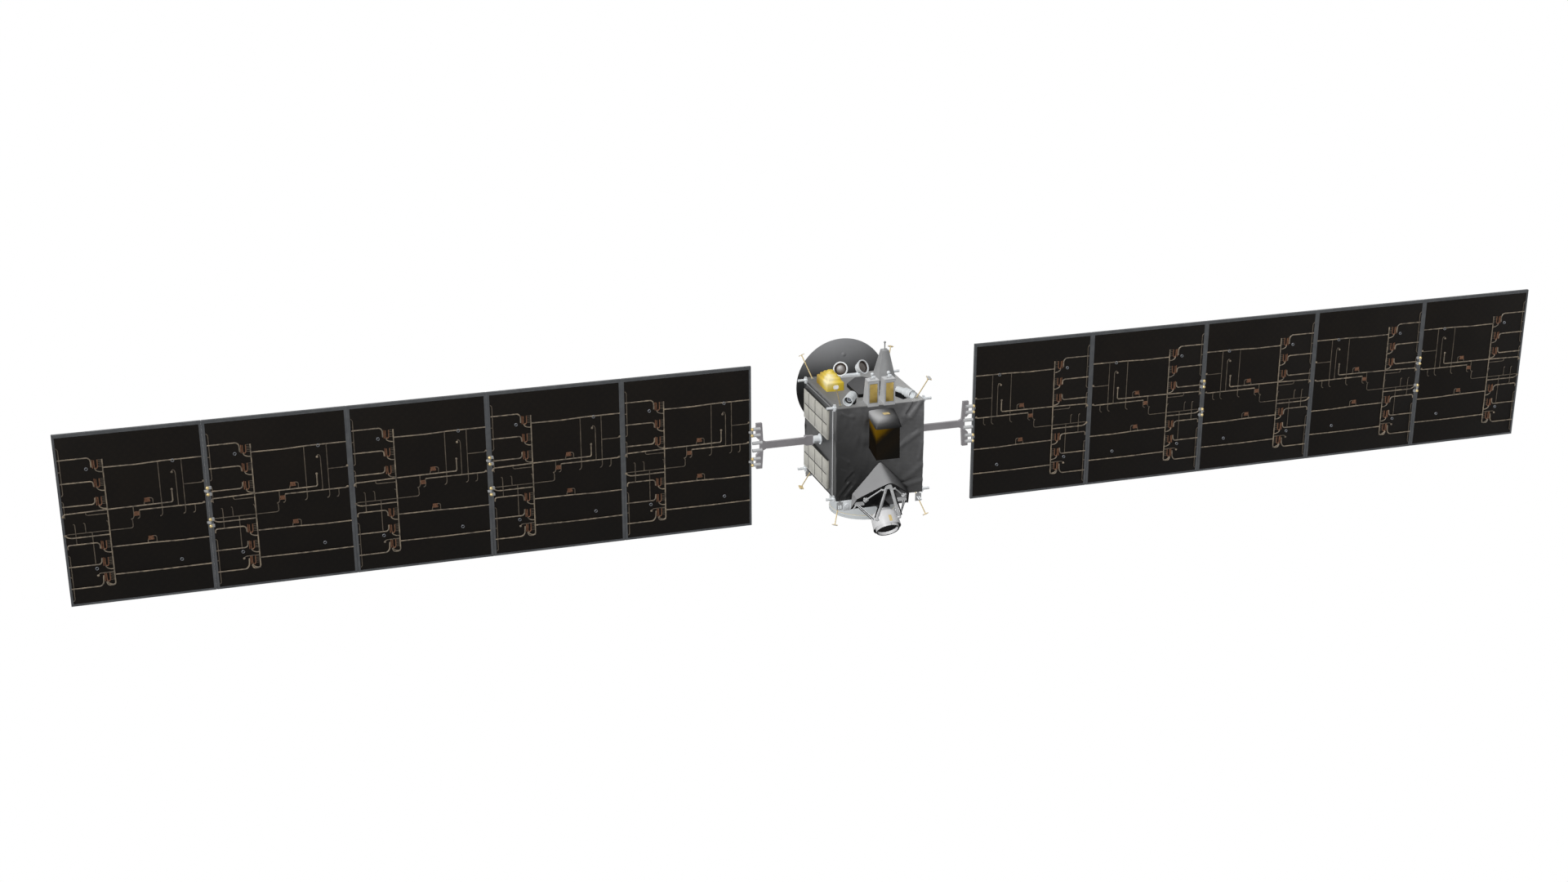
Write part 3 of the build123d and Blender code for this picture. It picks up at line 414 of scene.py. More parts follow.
# lighter coat of the camera housings, greyer round the windows, which glint gold
housingPaint = paintedFinish("paleHousingPaint", "#c6c7c8", "#babbbc", 0.45, 110, 5, 0.0001)
cameraGrey = paintedFinish("greyCameraFrame", "#9a9c9e", "#8e9092", 0.45, 60, 3, 0.0001)
windowGold = paintedFinish("goldWindowCoat", "#b39a55", "#a58c49", 0.3, 45, 3, 0.0001, 0.35)
# grey coat of the engine shade, a satin sheet without seams; painted shade darkens its right roof, turned away from the
# lamp
shadeCoat = paintedFinish("satinShadeCoat", "#9b9b9c", "#959596", 0.42, 320, 12, 0.0001, shine=0.2,
                          fade=fades["shade"])
# back plate inside the shade: grey film under painted shade, near black under the roof and lighter towards its foot
tentFilm = paintedFinish("tentFilmPaintedShade", "#5c5c5d", "#505051", 0.5, 120, 9, 0.0001, shine=0.1, fade=fades["tent"])
# hood over the sensor box: satin metal with a painted highlight at its upper left, and painted shade that darkens it to
# near black towards the right and below
hoodCoat = paintedFinish("satinHoodMetal", "#cdcdce", "#c6c6c7", 0.4, 240, 12, 0.0001, shine=0.1, fade=fades["hood"])
# louver frames and blades: bare aluminium gone warm and pale; the gaps between them are dark painted shade
louverMetal = paintedFinish("paleLouverAluminium", "#c6c4bb", "#b8b6ac", 0.4, 70, 4, 0.0001, 0.2)
louverShade = paintedFinish("darkLouverGap", "#3b3b3a", "#30302f", 0.55, 60, 5, 0.0001, shine=0.1)
# inside black paint and black boxes: dull, hides seams
blackPaint = paintedFinish("blackOpticalPaint", "#161617", "#0e0e0f", 0.65, 60, 4, 0.00015, shine=0.1)
# engine: smooth pale coat over titanium, and the carbon grid, dark carbon made darker still by painted shade in the
# mouth, the darkest place of the probe
engineCoat = paintedFinish("paleEngineCoat", "#dcdcdd", "#d5d5d6", 0.42, 200, 8, 0.00005)
carbonGrid = paintedFinish("carbonGridPlate", "#0b0b0c", "#070708", 0.7, 30, 3, 0.0001, shine=0.05)
# dish: graphite skin with a dark coat; painted shade makes it black low on its back and lighter towards the top
dishCoat = paintedFinish("graphiteDishCoat", "#939496", "#8b8c8e", 0.45, 320, 9, 0.0002, shine=0.2, fade=fades["dish"])
# glass-fibre masts under tan film tape, their foot pads greyed like the deck
mastTape = paintedFinish("tanMastTape", "#ecd7a4", "#dac38e", 0.4, 40, 8, 0.0003, fade=fades["mast"])
tanTape = paintedFinish("tanFilmTape", "#dfc890", "#ccb37c", 0.4, 40, 8, 0.0003)
# rod ends and boom tubes: light anodised aluminium; on the mounts painted shade makes the block under each engine shade
# near black
rodAnodised = paintedFinish("lightAnodisedRod", "#c9cacb", "#b9babb", 0.35, 60, 3, 0.0001, 0.2)
mountAnodised = paintedFinish("anodisedMount", "#c9cacb", "#b9babb", 0.35, 60, 3, 0.0001, 0.1, fade=fades["mounts"])
# grey paint of the wing yokes, flat and faintly warm
yokePaint = paintedFinish("greyYokePaint", "#9b989b", "#939093", 0.5, 180, 7, 0.00015)
# strips round each panel and across its seams: flat dark grey; on the walls a pale strip and a grey rail
frameGrey = paintedFinish("greyPanelEdge", "#626466", "#55575a", 0.5, 90, 4, 0.0001, shine=0.15)
railGrey = paintedFinish("paleEdgeStrip", "#cbcccd", "#bebfc0", 0.42, 90, 4, 0.0001)
topRailGrey = paintedFinish("greyTopRail", "#838485", "#787979", 0.42, 90, 4, 0.0001)
# sensor disc: satin metal under a brown coat, bright only where it faces the lamp; its ring is duller
brownDisc = paintedFinish("brownSensorDisc", "#40362f", "#352c26", 0.45, 60, 3, 0.0001, shine=1.0)
brownRing = paintedFinish("brownSensorRing", "#3a2f2b", "#2c2421", 0.5, 40, 3, 0.0001)
# tracker lens: grey glass with a clear gloss
lensGlass = paintedFinish("coatedLens", "#6a6e74", "#5a5e64", 0.12, 30, 3, 0.00002, 0.0, 0.6)
# hinge balls: cream lacquer over gold plate
creamGold = paintedFinish("creamHingeBall", "#e2cd98", "#d2ba80", 0.3, 25, 3, 0.00005, 0.35)
# harness: thin tan tape, bare copper strips and grey hold-down cups
branchTan = paintedFinish("thinHarnessTape", "#6b6154", "#463f37", 0.6, 70, 5, 0.0004)
copperStrip = paintedFinish("bareCopperStrip", "#84604a", "#5f3f2c", 0.5, 30, 3, 0.0002, 0.3)
cupMetal = paintedFinish("greyHoldDownCup", "#8c8f94", "#6a6d72", 0.4, 20, 3, 0.0001, 0.3)

# bolt heads: turned steel, long fine lines along one direction
steelBright, tree = newMaterial("turnedSteel")
lines = objectGrain(tree, 4, 3, 0.6, (1, 1, 0.15))
coated(tree, {"Metallic": 1.0,
              "Base Color": addNode(tree, "ValToRGB", {"stops": [(0.35, "#a9a9a8"), (0.65, "#c8c8c6")], "Fac": lines}),
              "Roughness": addNode(tree, "MapRange", {"To Min": 0.24, "To Max": 0.38, "Value": lines}),
              "Normal": addNode(tree, "Bump", {"Strength": 0.2, "Distance": 0.0002, "Height": lines})})

# amber polyimide film over the sensor box: a painted highlight bright along its upper left, painted shade near black
# below, and random blotches
amber = {"way": (6.33, 4.32, -8.33), "start": 16.12, "spread": 4.0, "grain": 0.22,
         "stops": [(0.0, "#7c5c06"), (0.14, "#664c04"), (0.25, "#302203"), (0.34, "#0f0b05"), (0.65, "#150f06"),
                   (1.0, "#0a0805")]}
amberFilm, tree = newMaterial("amberPolyimideFilm")
# painted light: the fall along this way through the box places the painted highlight and shade; the grain adds random
# blotches
fall = addNode(tree, "VectorMath", {"operation": "DOT_PRODUCT", 0: addNode(tree, "TexCoord", {}).outputs["Object"],
                                    1: amber["way"]})
shadeAndBlotch = addNode(tree, "Math", {"operation": "MULTIPLY_ADD", 0: objectGrain(tree, 60, 4), 1: amber["grain"],
                                2: fall.outputs["Value"]})
placed = addNode(tree, "MapRange", {"From Min": -amber["start"], "From Max": amber["spread"] - amber["start"],
                                    "Value": shadeAndBlotch})
tone = addNode(tree, "ValToRGB", {"stops": amber["stops"], "Fac": placed})
bump = addNode(tree, "Bump", {"Strength": 0.3, "Distance": 0.0005, "Height": objectGrain(tree, 9, 3)})
coated(tree, {"Roughness": 0.42, "Specular IOR Level": 0.06, "Base Color": tone, "Normal": bump})

# main harness: tan polyimide tape over braid, dull, blotched by hand wrapping
harnessTan, tree = newMaterial("tanHarnessTape")
tone = addNode(tree, "ValToRGB", {"stops": [(0.3, "#4a4238"), (0.5, "#7d7263"), (0.72, "#a1917b")],
                                  "Fac": objectGrain(tree, 55, 4, 0.5)})
bump = addNode(tree, "Bump", {"Strength": 0.5, "Distance": 0.0008, "Height": objectGrain(tree, 6, 2)})
coated(tree, {"Roughness": 0.55, "Base Color": tone, "Normal": bump})

# back skin of the panel: carbon cloth under brown-black film, weave 2.5 mm drawn at 12 mm so that it shows
panelFilm, tree = newMaterial("carbonPanelFilm")
place = addNode(tree, "TexCoord", {}).outputs["Object"]
weaves = []
for turned in (45, -45):
    placed = addNode(tree, "Mapping", {"Rotation": (0, math.radians(turned), 0), "Vector": place})
    weave = addNode(tree, "TexWave", {"wave_type": "BANDS", "bands_direction": "X", "Scale": perMetre(12) / waveOwn,
                                      "Distortion": 0.4, "Detail": 1, "Vector": placed})
    weaves.append(weave.outputs["Fac"])
cloth = addNode(tree, "Math", {"operation": "MULTIPLY", 0: weaves[0], 1: weaves[1]})
both = addNode(tree, "Math", {"operation": "MULTIPLY_ADD", 0: cloth, 1: 0.25, 2: objectGrain(tree, 420, 5)})
tone = addNode(tree, "ValToRGB", {"stops": [(0.35, "#0a0705"), (0.85, "#120e0a")], "Fac": both})
bump = addNode(tree, "Bump", {"Strength": 0.25, "Distance": 0.0004, "Height": cloth})
coated(tree, {"Roughness": 0.62, "Specular IOR Level": 0.1, "Base Color": tone, "Normal": bump})

# solar cells: blue-black glass over fine silver fingers, drawn 6 mm apart
cellGlass, tree = newMaterial("coveredSolarCell")
fingers = addNode(tree, "TexWave", {"wave_type": "BANDS", "bands_direction": "Z", "Scale": perMetre(6) / waveOwn,
                                    "Vector": addNode(tree, "TexCoord", {}).outputs["Object"]})
lines = addNode(tree, "ValToRGB", {"stops": [(0.9, "#0e1730"), (0.97, "#3d465c")], "Fac": fingers.outputs["Fac"]})
lightness = addNode(tree, "MapRange", {"To Min": 0.7, "To Max": 1.35, "Value": objectGrain(tree, 180, 3)})
shift = addNode(tree, "HueSaturation", {"Value": lightness, "Color": lines})
coated(tree, {"Roughness": 0.22, "Coat Weight": 0.8, "Coat Roughness": 0.06, "Base Color": shift})
print("finishes made")

# anything left over is reported, so that no solid stays without a finish
nodeFinish = {
    "bus_core": blanketFilm, "side_walls": wallSkin, "end_walls": blanketFilm, "top_deck": deckFilm,
    "bottom_deck": blanketFilm, "launch_ring": ringPaint, "louvers": louverShade, "front_box": amberFilm,
    "front_hood": shadeCoat, "stepped_box": goldFilm, "deck_plate": plateCoat, "camera_housings": housingPaint,
    "antenna_tower": towerPaint, "star_trackers": ringPaint, "tracker_blocks": blackPaint,
    "cup_sensors": whitePaint, "cup_bracket": whitePaint, "dish_reflector": dishCoat, "dish_mount": greyPaint,
    "dish_feed": whitePaint, "outer_engines": engineCoat, "centre_engine": engineCoat,
    "engine_shades": shadeCoat, "engine_mounts": mountAnodised, "corner_masts": mastTape, "wing_posts": whitePaint,
    "corner_plates": greyPaint, "thruster_nozzles": whitePaint, "drive_housings": whitePaint,
}
for side in sides:
    nodeFinish[side + "_root_block"] = nodeFinish[side + "_yoke"] = yokePaint
    nodeFinish[side + "_yoke_rods"] = rodAnodised
    for number in range(1, wing["count"] + 1):
        nodeFinish[f"{side}_panel_{number}"] = frameGrey
        nodeFinish[f"{side}_hinges_{number}"] = greyPaint
for nodeName, finish in nodeFinish.items():
    nodes[nodeName].data.materials.clear()
    nodes[nodeName].data.materials.append(finish)
print("solids finished:", len(nodeFinish), "without finish:", sorted(set(nodes) - set(nodeFinish)))

# wings: the side towards the camera carries the wiring, the other side the cells
harness = {"mainRadius": 0.0075, "branchRadius": 0.0052, "fineRadius": 0.0028, "stripRadius": 0.0058,
           "leadRadius": 0.0062, "bend": 0.022, "faceLift": 0.0012, "flat": 0.75, "sideEdge": 0.028,
           "topEdge": 0.038, "footEdge": 0.028}
knob = {"reach": (-14, -11, 0, 11, 14), "radii": [0.002, 0.010, 0.014, 0.010, 0.002], "lift": 0.006}
coil = {"turns": 4, "steps": 49, "long": 60, "slant": 8, "tall": 22, "radius": 0.0045, "lift": 0.004}
cup = {"profile": [(0.0125, 0.0), (0.0215, 0.0), (0.0205, 0.006), (0.0175, 0.0095), (0.0145, 0.0095), (0.0125, 0.004)],
       "lift": 0.0004}
seam = {"clear": 0.005, "aside": 0.0008, "halfWide": 0.0045, "halfThick": 0.015}
cellGrid = {"wide": 0.0780, "tall": 0.0390, "gap": 0.0015, "margin": 0.048, "lift": 0.0008, "rise": 0.0006}
hingeBall = {"radius": 0.0213, "yokeY": -0.048, "panelY": -0.044, "heights": (-0.240, -0.158, 0.158, 0.240)}
# places on a panel in mm: distance in from its outer edge, then height above the wing's axis
mainRuns = [
    [(530, 728), (530, -826), (508, -846), (446, -846), (432, -800)],
    [(530, 624), (900, 621), (1180, 632), (1640, 634)],
    [(30, 70), (48, 92), (600, 104), (1255, 110), (1267, 126), (1267, 262)],
    [(1618, 66), (1598, 54), (884, 54)],
    [(541, -369), (1000, -371), (1300, -380), (1640, -378)],
    [(541, -718), (1100, -723), (1640, -719)],
    [(40, 756), (372, 758), (402, 728), (404, 640)],
    [(40, 467), (380, 467), (404, 452), (408, 400)],
    [(40, 184), (380, 184), (402, 208), (405, 262)],
    [(45, -345), (46, -308), (64, -296), (375, -296), (402, -318), (406, -372)],
    [(30, -571), (380, -571), (402, -548), (406, -492)],
    [(28, -846), (368, -846), (398, -808), (404, -715)],
    [(30, -176), (66, -202), (104, -210), (530, -208)],
]
branchRuns = [
    [(345, -706), (366, -684), (524, -680)],
    [(1630, 330), (1612, 316), (1403, 316)],
    [(282, 102), (286, 62), (302, 54), (530, 54)],
    [(42, -168), (62, -160), (778, -160), (795, -145), (795, -66), (780, -46)],
    [(132, -40), (148, -44), (150, -84), (150, -292)],
    [(246, -36), (262, -42), (264, -80), (264, -160)],
    [(332, -160), (332, -556)],
    [(504, -36), (520, -44), (524, -90)],
    [(1140, 628), (1140, -16), (1130, -42), (1110, -50)],
    [(1403, 628), (1403, -16), (1393, -42), (1373, -50)],
    [(1322, 54), (1326, 84), (1326, 468), (1316, 500), (1294, 506), (1286, 484)],
    [(1513, 52), (1513, -26), (1503, -46), (1486, -50)],
    [(816, 106), (816, -20), (802, -46), (782, -50)],
    [(882, 56), (882, -28), (872, -46), (854, -50)],
    [(1044, 110), (1044, 176), (1030, 188), (1008, 190)],
    [(952, 152), (944, 136), (942, 110)],
    [(1044, -371), (1044, -300), (1030, -288), (1008, -286)],
    [(952, -322), (944, -338), (942, -371)],
    [(38, 905), (60, 884), (60, 334), (42, 316)],
    [(36, 252), (52, 238), (52, 40)],
    [(38, -424), (56, -440), (56, -986), (40, -1002)],
    [(34, 612), (58, 610)], [(32, -700), (56, -702)],
]
# each comb of strips: height of its top
combTops = [727, 496, 272, -278, -490, -686]
knobPlaces = [(1267, 268), (1618, 66), (1630, 330), (1286, 480), (345, -708), (34, 64), (32, -172)]
coilPlaces = [(980, 170), (980, -308), (848, 12)]
cupPlaces = [(346, 622), (1308, 622), (340, -622), (1303, -624)]


def onPanel(runs, side, number, lift):
    # panel places to row places: X from the outer edge inwards, Z from the wing's axis, Y just off the face
    outer = wing["inner"] + number * wing["pitch"]
    flat = np.asarray(runs, float) / 1000
    return np.stack([sides[side] * (outer - flat[..., 0]), np.full(flat.shape[:-1], lift),
                     wing["axis"] + flat[..., 1]], -1)


def flattenedRun(run, side, number, radius, sidesCount=6):
    lift = -wing["halfThick"] - harness["faceLift"] - 0.55 * radius
    return sweep(roundedRun(onPanel(run, side, number, lift), harness["bend"], 4), radius, (0, 1, 0), sidesCount,
                 harness["flat"])


def cellTiles(side, number):
    # flat tiles in rows and columns over the sunward face, one block each
    inner = wing["inner"] + (number - 1) * wing["pitch"] + seam["clear"]
    spanWide = wing["pitch"] - 2 * seam["clear"] - 2 * cellGrid["margin"]
    spanTall = wing["tall"] - 2 * cellGrid["margin"]
    stepWide, stepTall = cellGrid["wide"] + cellGrid["gap"], cellGrid["tall"] + cellGrid["gap"]
    countWide, countTall = int(spanWide / stepWide), int(spanTall / stepTall)
    u = inner + cellGrid["margin"] + (spanWide - countWide * stepWide) / 2 + stepWide * (np.arange(countWide) + 0.5)
    z = wing["axis"] - countTall * stepTall / 2 + stepTall * (np.arange(countTall) + 0.5)
    u, z = [v.ravel() for v in np.meshgrid(u, z)]
    half = np.array([[-1, -1], [1, -1], [1, 1], [-1, 1]]) * np.array([cellGrid["wide"], cellGrid["tall"]]) / 2
    low = wing["halfThick"] + cellGrid["lift"]
    ring = np.stack([sides[side] * (u[:, None] + half[:, 0]), np.zeros((len(u), 4)), z[:, None] + half[:, 1]], -1)
    points = np.concatenate([ring + (0, low, 0), ring + (0, low + cellGrid["rise"], 0)], 1)
    block = np.array([[0, 1, 2, 3], [4, 7, 6, 5], [0, 4, 5, 1], [1, 5, 6, 2], [2, 6, 7, 3], [3, 7, 4, 0]])
    faces = (block[None] + 8 * np.arange(len(u))[:, None, None]).reshape(-1, 4)
    return points.reshape(-1, 3), faces.tolist()


def panelSlab(side, number, low, high):
    # thin plate inside the panel's edge strips
    u = wing["inner"] + (number - 0.5) * wing["pitch"]
    top, foot = wing["tall"] / 2 - harness["topEdge"], -wing["tall"] / 2 + harness["footEdge"]
    return softBlocks((sides[side] * u, (low + high) / 2, wing["axis"] + (top + foot) / 2),
                      (wing["pitch"] / 2 - seam["clear"] - harness["sideEdge"], (high - low) / 2, (top - foot) / 2),
                      0.0005)


def comb(top, side, number):
    # two copper strips with a bend below, five fine leads to the trunk and one lead out of the bend
    copper = [[(476, top - 2), (476, top - 92), (456, top - 114), (438, top - 92), (438, top - 6)],
              [(420, top), (420, top - 104)]]
    fine = [[(470, top - 6 - 21 * i), (530, top - 6 - 21 * i)] for i in range(5)]
    lead = [(440, top - 104), (450, top - 132), (486, top - 152), (530, top - 154)]
    return ([flattenedRun(run, side, number, harness["stripRadius"]) for run in copper],
            [flattenedRun(run, side, number, harness["fineRadius"], 5) for run in fine],
            [flattenedRun(lead, side, number, harness["leadRadius"])])


def knobs(side, number, lift):
    # a short spindle on the run's end
    return [sweep(onPanel([(a + reach, h) for reach in knob["reach"]], side, number, lift - knob["lift"]),
                  knob["radii"], (0, 1, 0), 8, 0.6) for a, h in knobPlaces]


def coils(side, number, lift):
    # a slanted wave: along = a + long (t - 1/2) + slant sin 2s, height = h + tall cos s
    swing = np.linspace(0, coil["turns"] * 2 * np.pi, coil["steps"])
    along = coil["long"] * swing / swing[-1] + coil["slant"] * np.sin(2 * swing) - coil["long"] / 2
    wave = np.stack([along, coil["tall"] * np.cos(swing)], 1)
    return [sweep(onPanel(place + wave, side, number, lift - coil["lift"]), coil["radius"], (0, 1, 0), 5, 0.8)
            for place in coilPlaces]


arc = np.radians(np.linspace(-87, 87, 15))
ball = hingeBall["radius"] * np.stack([np.cos(arc), np.sin(arc)], 1)
face, sun = -wing["halfThick"] - harness["faceLift"], wing["halfThick"]
for side, sign in sides.items():
    for number in range(1, wing["count"] + 1):
        strips, fine, leads = [sum(group, []) for group in zip(*[comb(top, side, number) for top in combTops])]
        mains = [flattenedRun(run, side, number, harness["mainRadius"]) for run in mainRuns]
        branches = [flattenedRun(run, side, number, harness["branchRadius"]) for run in branchRuns]
        cups = [revolve(cup["profile"], onPanel(place, side, number, face + cup["lift"]), (0, -1, 0), 20)
                for place in cupPlaces]
        pieces = {"PanelSkin": (panelSlab(side, number, face, 0.001 - wing["halfThick"]), panelFilm),
                  "CellBed": (panelSlab(side, number, sun - 0.001, sun + 0.001), panelFilm),
                  "Cells": (cellTiles(side, number), cellGlass),
                  "Trunks": (mains + knobs(side, number, face) + leads, harnessTan),
                  "Branches": (branches + fine, branchTan),
                  "Combs": (strips + coils(side, number, face), copperStrip),
                  "HoldDownCups": (cups, cupMetal)}
        inner = wing["inner"] + (number - 1) * wing["pitch"]
        if number < wing["count"]:
            middle = (sign * (inner + wing["pitch"] - seam["aside"]), 0, wing["axis"])
            halves = (seam["halfWide"], seam["halfThick"], wing["tall"] / 2 - 0.002)
            pieces["SeamStrip"] = (softBlocks(middle, halves, 0.0005), frameGrey)
        for kind, (shapes, finish) in pieces.items():
            makePiece(f"{side}{kind}_{number}", shapes, finish, f"{side}_wing_{number}")
        if number % 2 == 1:
            y = hingeBall["yokeY"] if number == 1 else hingeBall["panelY"]
            balls = [revolve(ball, (sign * inner, y, wing["axis"] + z), (0, 0, 1), 28, False)
                     for z in hingeBall["heights"]]
            makePiece(f"{side}HingeBalls_{number}", balls, creamGold, f"{side}_wing_{number}", 50)
print("wings dressed")


# bus: film blankets over the walls and decks, and what shows on them
blanket = {"lift": 0.004, "soft": 0.005, "wall": 0.002, "frontHem": 0.118, "backHem": 0.030, "columns": 150,
           "rows": 110, "foot": 0.397, "head": 1.622, "gain": 2.1, "base": 0.005, "highest": 0.028, "clear": 0.02,
           "billows": (0.5, 0.05, 0.0016), "spill": 0.4, "footWave": 0.006}
# a wall's folds: start and end (across, height), width and height of each; a negative height is a crease
frontFolds = [
    (0.350, 1.470, 0.470, 1.625, 0.022, -0.010), (0.395, 1.425, 0.520, 1.600, 0.032, 0.010),
    (0.300, 1.440, 0.400, 1.600, 0.030, 0.007), (0.250, 1.040, 0.500, 1.200, 0.035, 0.008),
    (0.250, 1.090, 0.340, 1.190, 0.022, -0.005), (0.320, 0.590, 0.555, 0.750, 0.041, 0.009),
    (0.315, 0.547, 0.570, 0.600, 0.019, -0.009), (0.350, 0.500, 0.570, 0.545, 0.030, 0.006),
    (0.410, 1.205, 0.480, 1.240, 0.016, -0.005), (0.200, 1.300, 0.330, 1.420, 0.041, 0.005),
    (0.520, 0.850, 0.560, 1.050, 0.027, 0.005), (-0.445, 0.650, -0.370, 0.735, 0.019, -0.010),
    (-0.520, 0.445, -0.390, 0.595, 0.022, -0.011), (-0.562, 0.450, -0.420, 0.625, 0.024, 0.010),
    (-0.470, 0.440, -0.340, 0.610, 0.027, 0.009), (-0.480, 0.660, -0.395, 0.765, 0.024, 0.007),
    (-0.500, 1.585, -0.425, 1.540, 0.022, -0.008), (-0.520, 1.560, -0.380, 1.500, 0.030, 0.006),
    (-0.570, 1.213, -0.540, 1.200, 0.016, -0.006), (-0.500, 0.830, -0.460, 0.810, 0.019, -0.006),
    (-0.300, 1.560, -0.200, 1.450, 0.035, 0.004), (-0.560, 0.980, -0.440, 0.900, 0.032, 0.004),
]
backFolds = [
    (-0.520, 1.590, -0.330, 1.400, 0.030, 0.008), (-0.470, 1.600, -0.300, 1.450, 0.020, -0.007),
    (0.540, 1.330, 0.390, 1.140, 0.035, 0.008), (0.560, 1.240, 0.430, 1.090, 0.022, -0.006),
    (-0.560, 0.980, -0.400, 0.820, 0.038, 0.007), (-0.550, 0.560, -0.400, 0.680, 0.027, 0.009),
    (-0.560, 0.480, -0.430, 0.560, 0.020, -0.008), (0.430, 0.440, 0.555, 0.610, 0.027, 0.009),
    (0.500, 0.430, 0.565, 0.520, 0.019, -0.008), (0.300, 1.600, 0.450, 1.500, 0.032, 0.006),
]
deckFolds = [
    (-0.540, -0.300, -0.440, -0.480, 0.018, 0.003), (-0.500, 0.020, -0.330, -0.090, 0.020, 0.002),
    (-0.250, -0.560, -0.100, -0.420, 0.022, 0.003), (0.260, -0.380, 0.420, -0.560, 0.022, 0.003),
    (0.480, 0.100, 0.560, -0.120, 0.018, 0.003), (-0.200, 0.560, 0.050, 0.610, 0.018, 0.003),
    (0.300, 0.560, 0.520, 0.480, 0.020, 0.003), (-0.540, 0.520, -0.420, 0.600, 0.018, 0.003),
]
shadeEdge = {"apex": 0.846, "shoulder": (0.364, 0.463), "side": 0.377}


def softWrap(run, reach, soft):
    # a run that turns down past its edge: drop = soft ln(1 + e^((|run| - reach)/soft)), across = |run| - drop
    over = (np.abs(run) - reach) / soft
    drop = soft * np.logaddexp(0, over)
    return np.sign(run) * (np.abs(run) - drop), drop, 1 / (1 + np.exp(-over))


def foldHeights(a, b, folds):
    # each fold: its height times e^-(distance to its segment / width)^2, all added
    rows = np.asarray(folds, float).reshape(-1, 6)
    start, run = rows[:, 0:2], rows[:, 2:4] - rows[:, 0:2]
    away = np.stack([a, b], -1)[..., None, :] - start
    t = np.clip((away * run).sum(-1) / (run ** 2).sum(-1), 0, 1)
    far = np.linalg.norm(away - t[..., None] * run, axis=-1)
    return (rows[:, 5] * np.exp(-(far / rows[:, 4]) ** 2)).sum(-1)


def billows(a, b, seed, longest, shortest, rise, count=9):
    # sine waves in random directions, each as high as it is long in proportion, all added
    dice = np.random.default_rng(seed)
    length = np.geomspace(longest, shortest, count)
    way, phase = dice.uniform(0, 2 * np.pi, (2, count))
    wave = np.sin(2 * np.pi / length * (a[..., None] * np.cos(way) + b[..., None] * np.sin(way)) + phase)
    return rise * (wave * length / longest).sum(-1)


def wallBlanket(name, way, hem, folds, seed):
    # a grid over one end wall that turns the two upright corners; way is -1 for the front and 1 for the back
    reach = bus["halfWidth"] + blanket["lift"]
    s, z = np.meshgrid(np.linspace(-1, 1, blanket["columns"]) * (reach + hem),
                       np.linspace(blanket["foot"], blanket["head"], blanket["rows"]))
    x, drop, lean = softWrap(s, reach, blanket["soft"])
    rise = foldHeights(x, z, folds) + billows(s, z, seed, *blanket["billows"])
    # the blanket lies flat under the shade: its distance past the roof's slope or side brings the folds back
    fall, wide = shadeEdge["apex"] - shadeEdge["shoulder"][1], shadeEdge["shoulder"][0]
    toRoof = (np.abs(x) * fall + (z - shadeEdge["apex"]) * wide) / math.hypot(fall, wide)
    clear = np.clip(np.maximum(toRoof, np.abs(x) - shadeEdge["side"]) / blanket["clear"], 0, 1)
    rise = np.clip(blanket["gain"] * rise + blanket["base"], 0.0, blanket["highest"]) * clear
    # its foot runs wavy: (1 - height over the foot) sin(41 s + 1.7 sin(17 s) + seed)
    foot = np.clip((z - blanket["foot"]) / blanket["clear"], 0, 1)
    wave = (1 - foot) * blanket["footWave"] * np.sin(s * 41 + 1.7 * np.sin(s * 17) + seed)
    y = way * (bus["halfDepth"] + blanket["lift"] * clear - drop + rise * (1 - lean))
    points = np.stack([x + np.sign(s) * rise * lean * blanket["spill"], y, z + wave], -1)
    makePiece(name, (points.reshape(-1, 3), gridQuads(blanket["rows"], blanket["columns"])), blanketFilm,
              angle=60, wall=-way * blanket["wall"])


def wavyHem(along, depth, swing, waves, curl):
    # a hem that runs out at both corners: depth (1 - |a|^14) (1 + swing sin(waves a + 2 sin(curl a)))
    return depth * (1 - np.abs(along) ** 14) * (1 + swing * np.sin(waves * along + 2 * np.sin(curl * along)))


def deckCover(name, cover, film):
    # a grid over one deck that turns past all four edges
    u, v = np.meshgrid(np.linspace(-1, 1, cover["columns"]), np.linspace(-1, 1, cover["rows"]))
    reachX, reachY = bus["halfWidth"] + cover["lift"][0], bus["halfDepth"] + cover["lift"][1]
    x, dropX, leanX = softWrap(u * (reachX + wavyHem(v, *cover["hemX"])), reachX, cover["soft"])
    y, dropY, leanY = softWrap(v * (reachY + wavyHem(u, *cover["hemY"])), reachY, cover["soft"])
    rise = np.clip(foldHeights(x, y, cover["folds"]) + billows(x, y, *cover["billows"]), *cover["limits"])
    z = cover["level"] + (rise + cover["sag"]) * (1 - leanX) * (1 - leanY) + cover["turn"] * (dropX + dropY)
    makePiece(name, (np.stack([x, y, z], -1).reshape(-1, 3), gridQuads(cover["rows"], cover["columns"])), film,
              angle=60, wall=-cover["turn"] * blanket["wall"])


wallBlanket("frontBlanket", -1, blanket["frontHem"], frontFolds, 3)
wallBlanket("backBlanket", 1, blanket["backHem"], backFolds, 8)

# the deck's film turns down over the walls; the black film below turns up on them
deck = {"columns": 130, "rows": 140, "lift": (0.0055, 0.0065), "soft": 0.005, "hemX": (0.028, 0.22, 19, 7),
        "hemY": (0.0196, 0.35, 13, 5), "folds": deckFolds, "billows": (5, 0.4, 0.06, 0.0006),
        "limits": (-0.001, 0.006), "level": bus["top"] + 0.0035, "sag": 0, "turn": -1}
below = {"columns": 90, "rows": 110, "lift": (0.0045, 0.0045), "soft": 0.004, "hemX": (0.019, 0.3, 23, 9),
         "hemY": (0.010, 0.3, 17, 0), "folds": [], "billows": (11, 0.3, 0.06, 0.0012),
         "limits": (-0.003, 0.001), "level": bus["bottom"], "sag": -0.003, "turn": 1}
deckCover("deckBlanket", deck, deckFilm)
deckCover("bottomBlanket", below, blackFilm)
print("blankets laid")

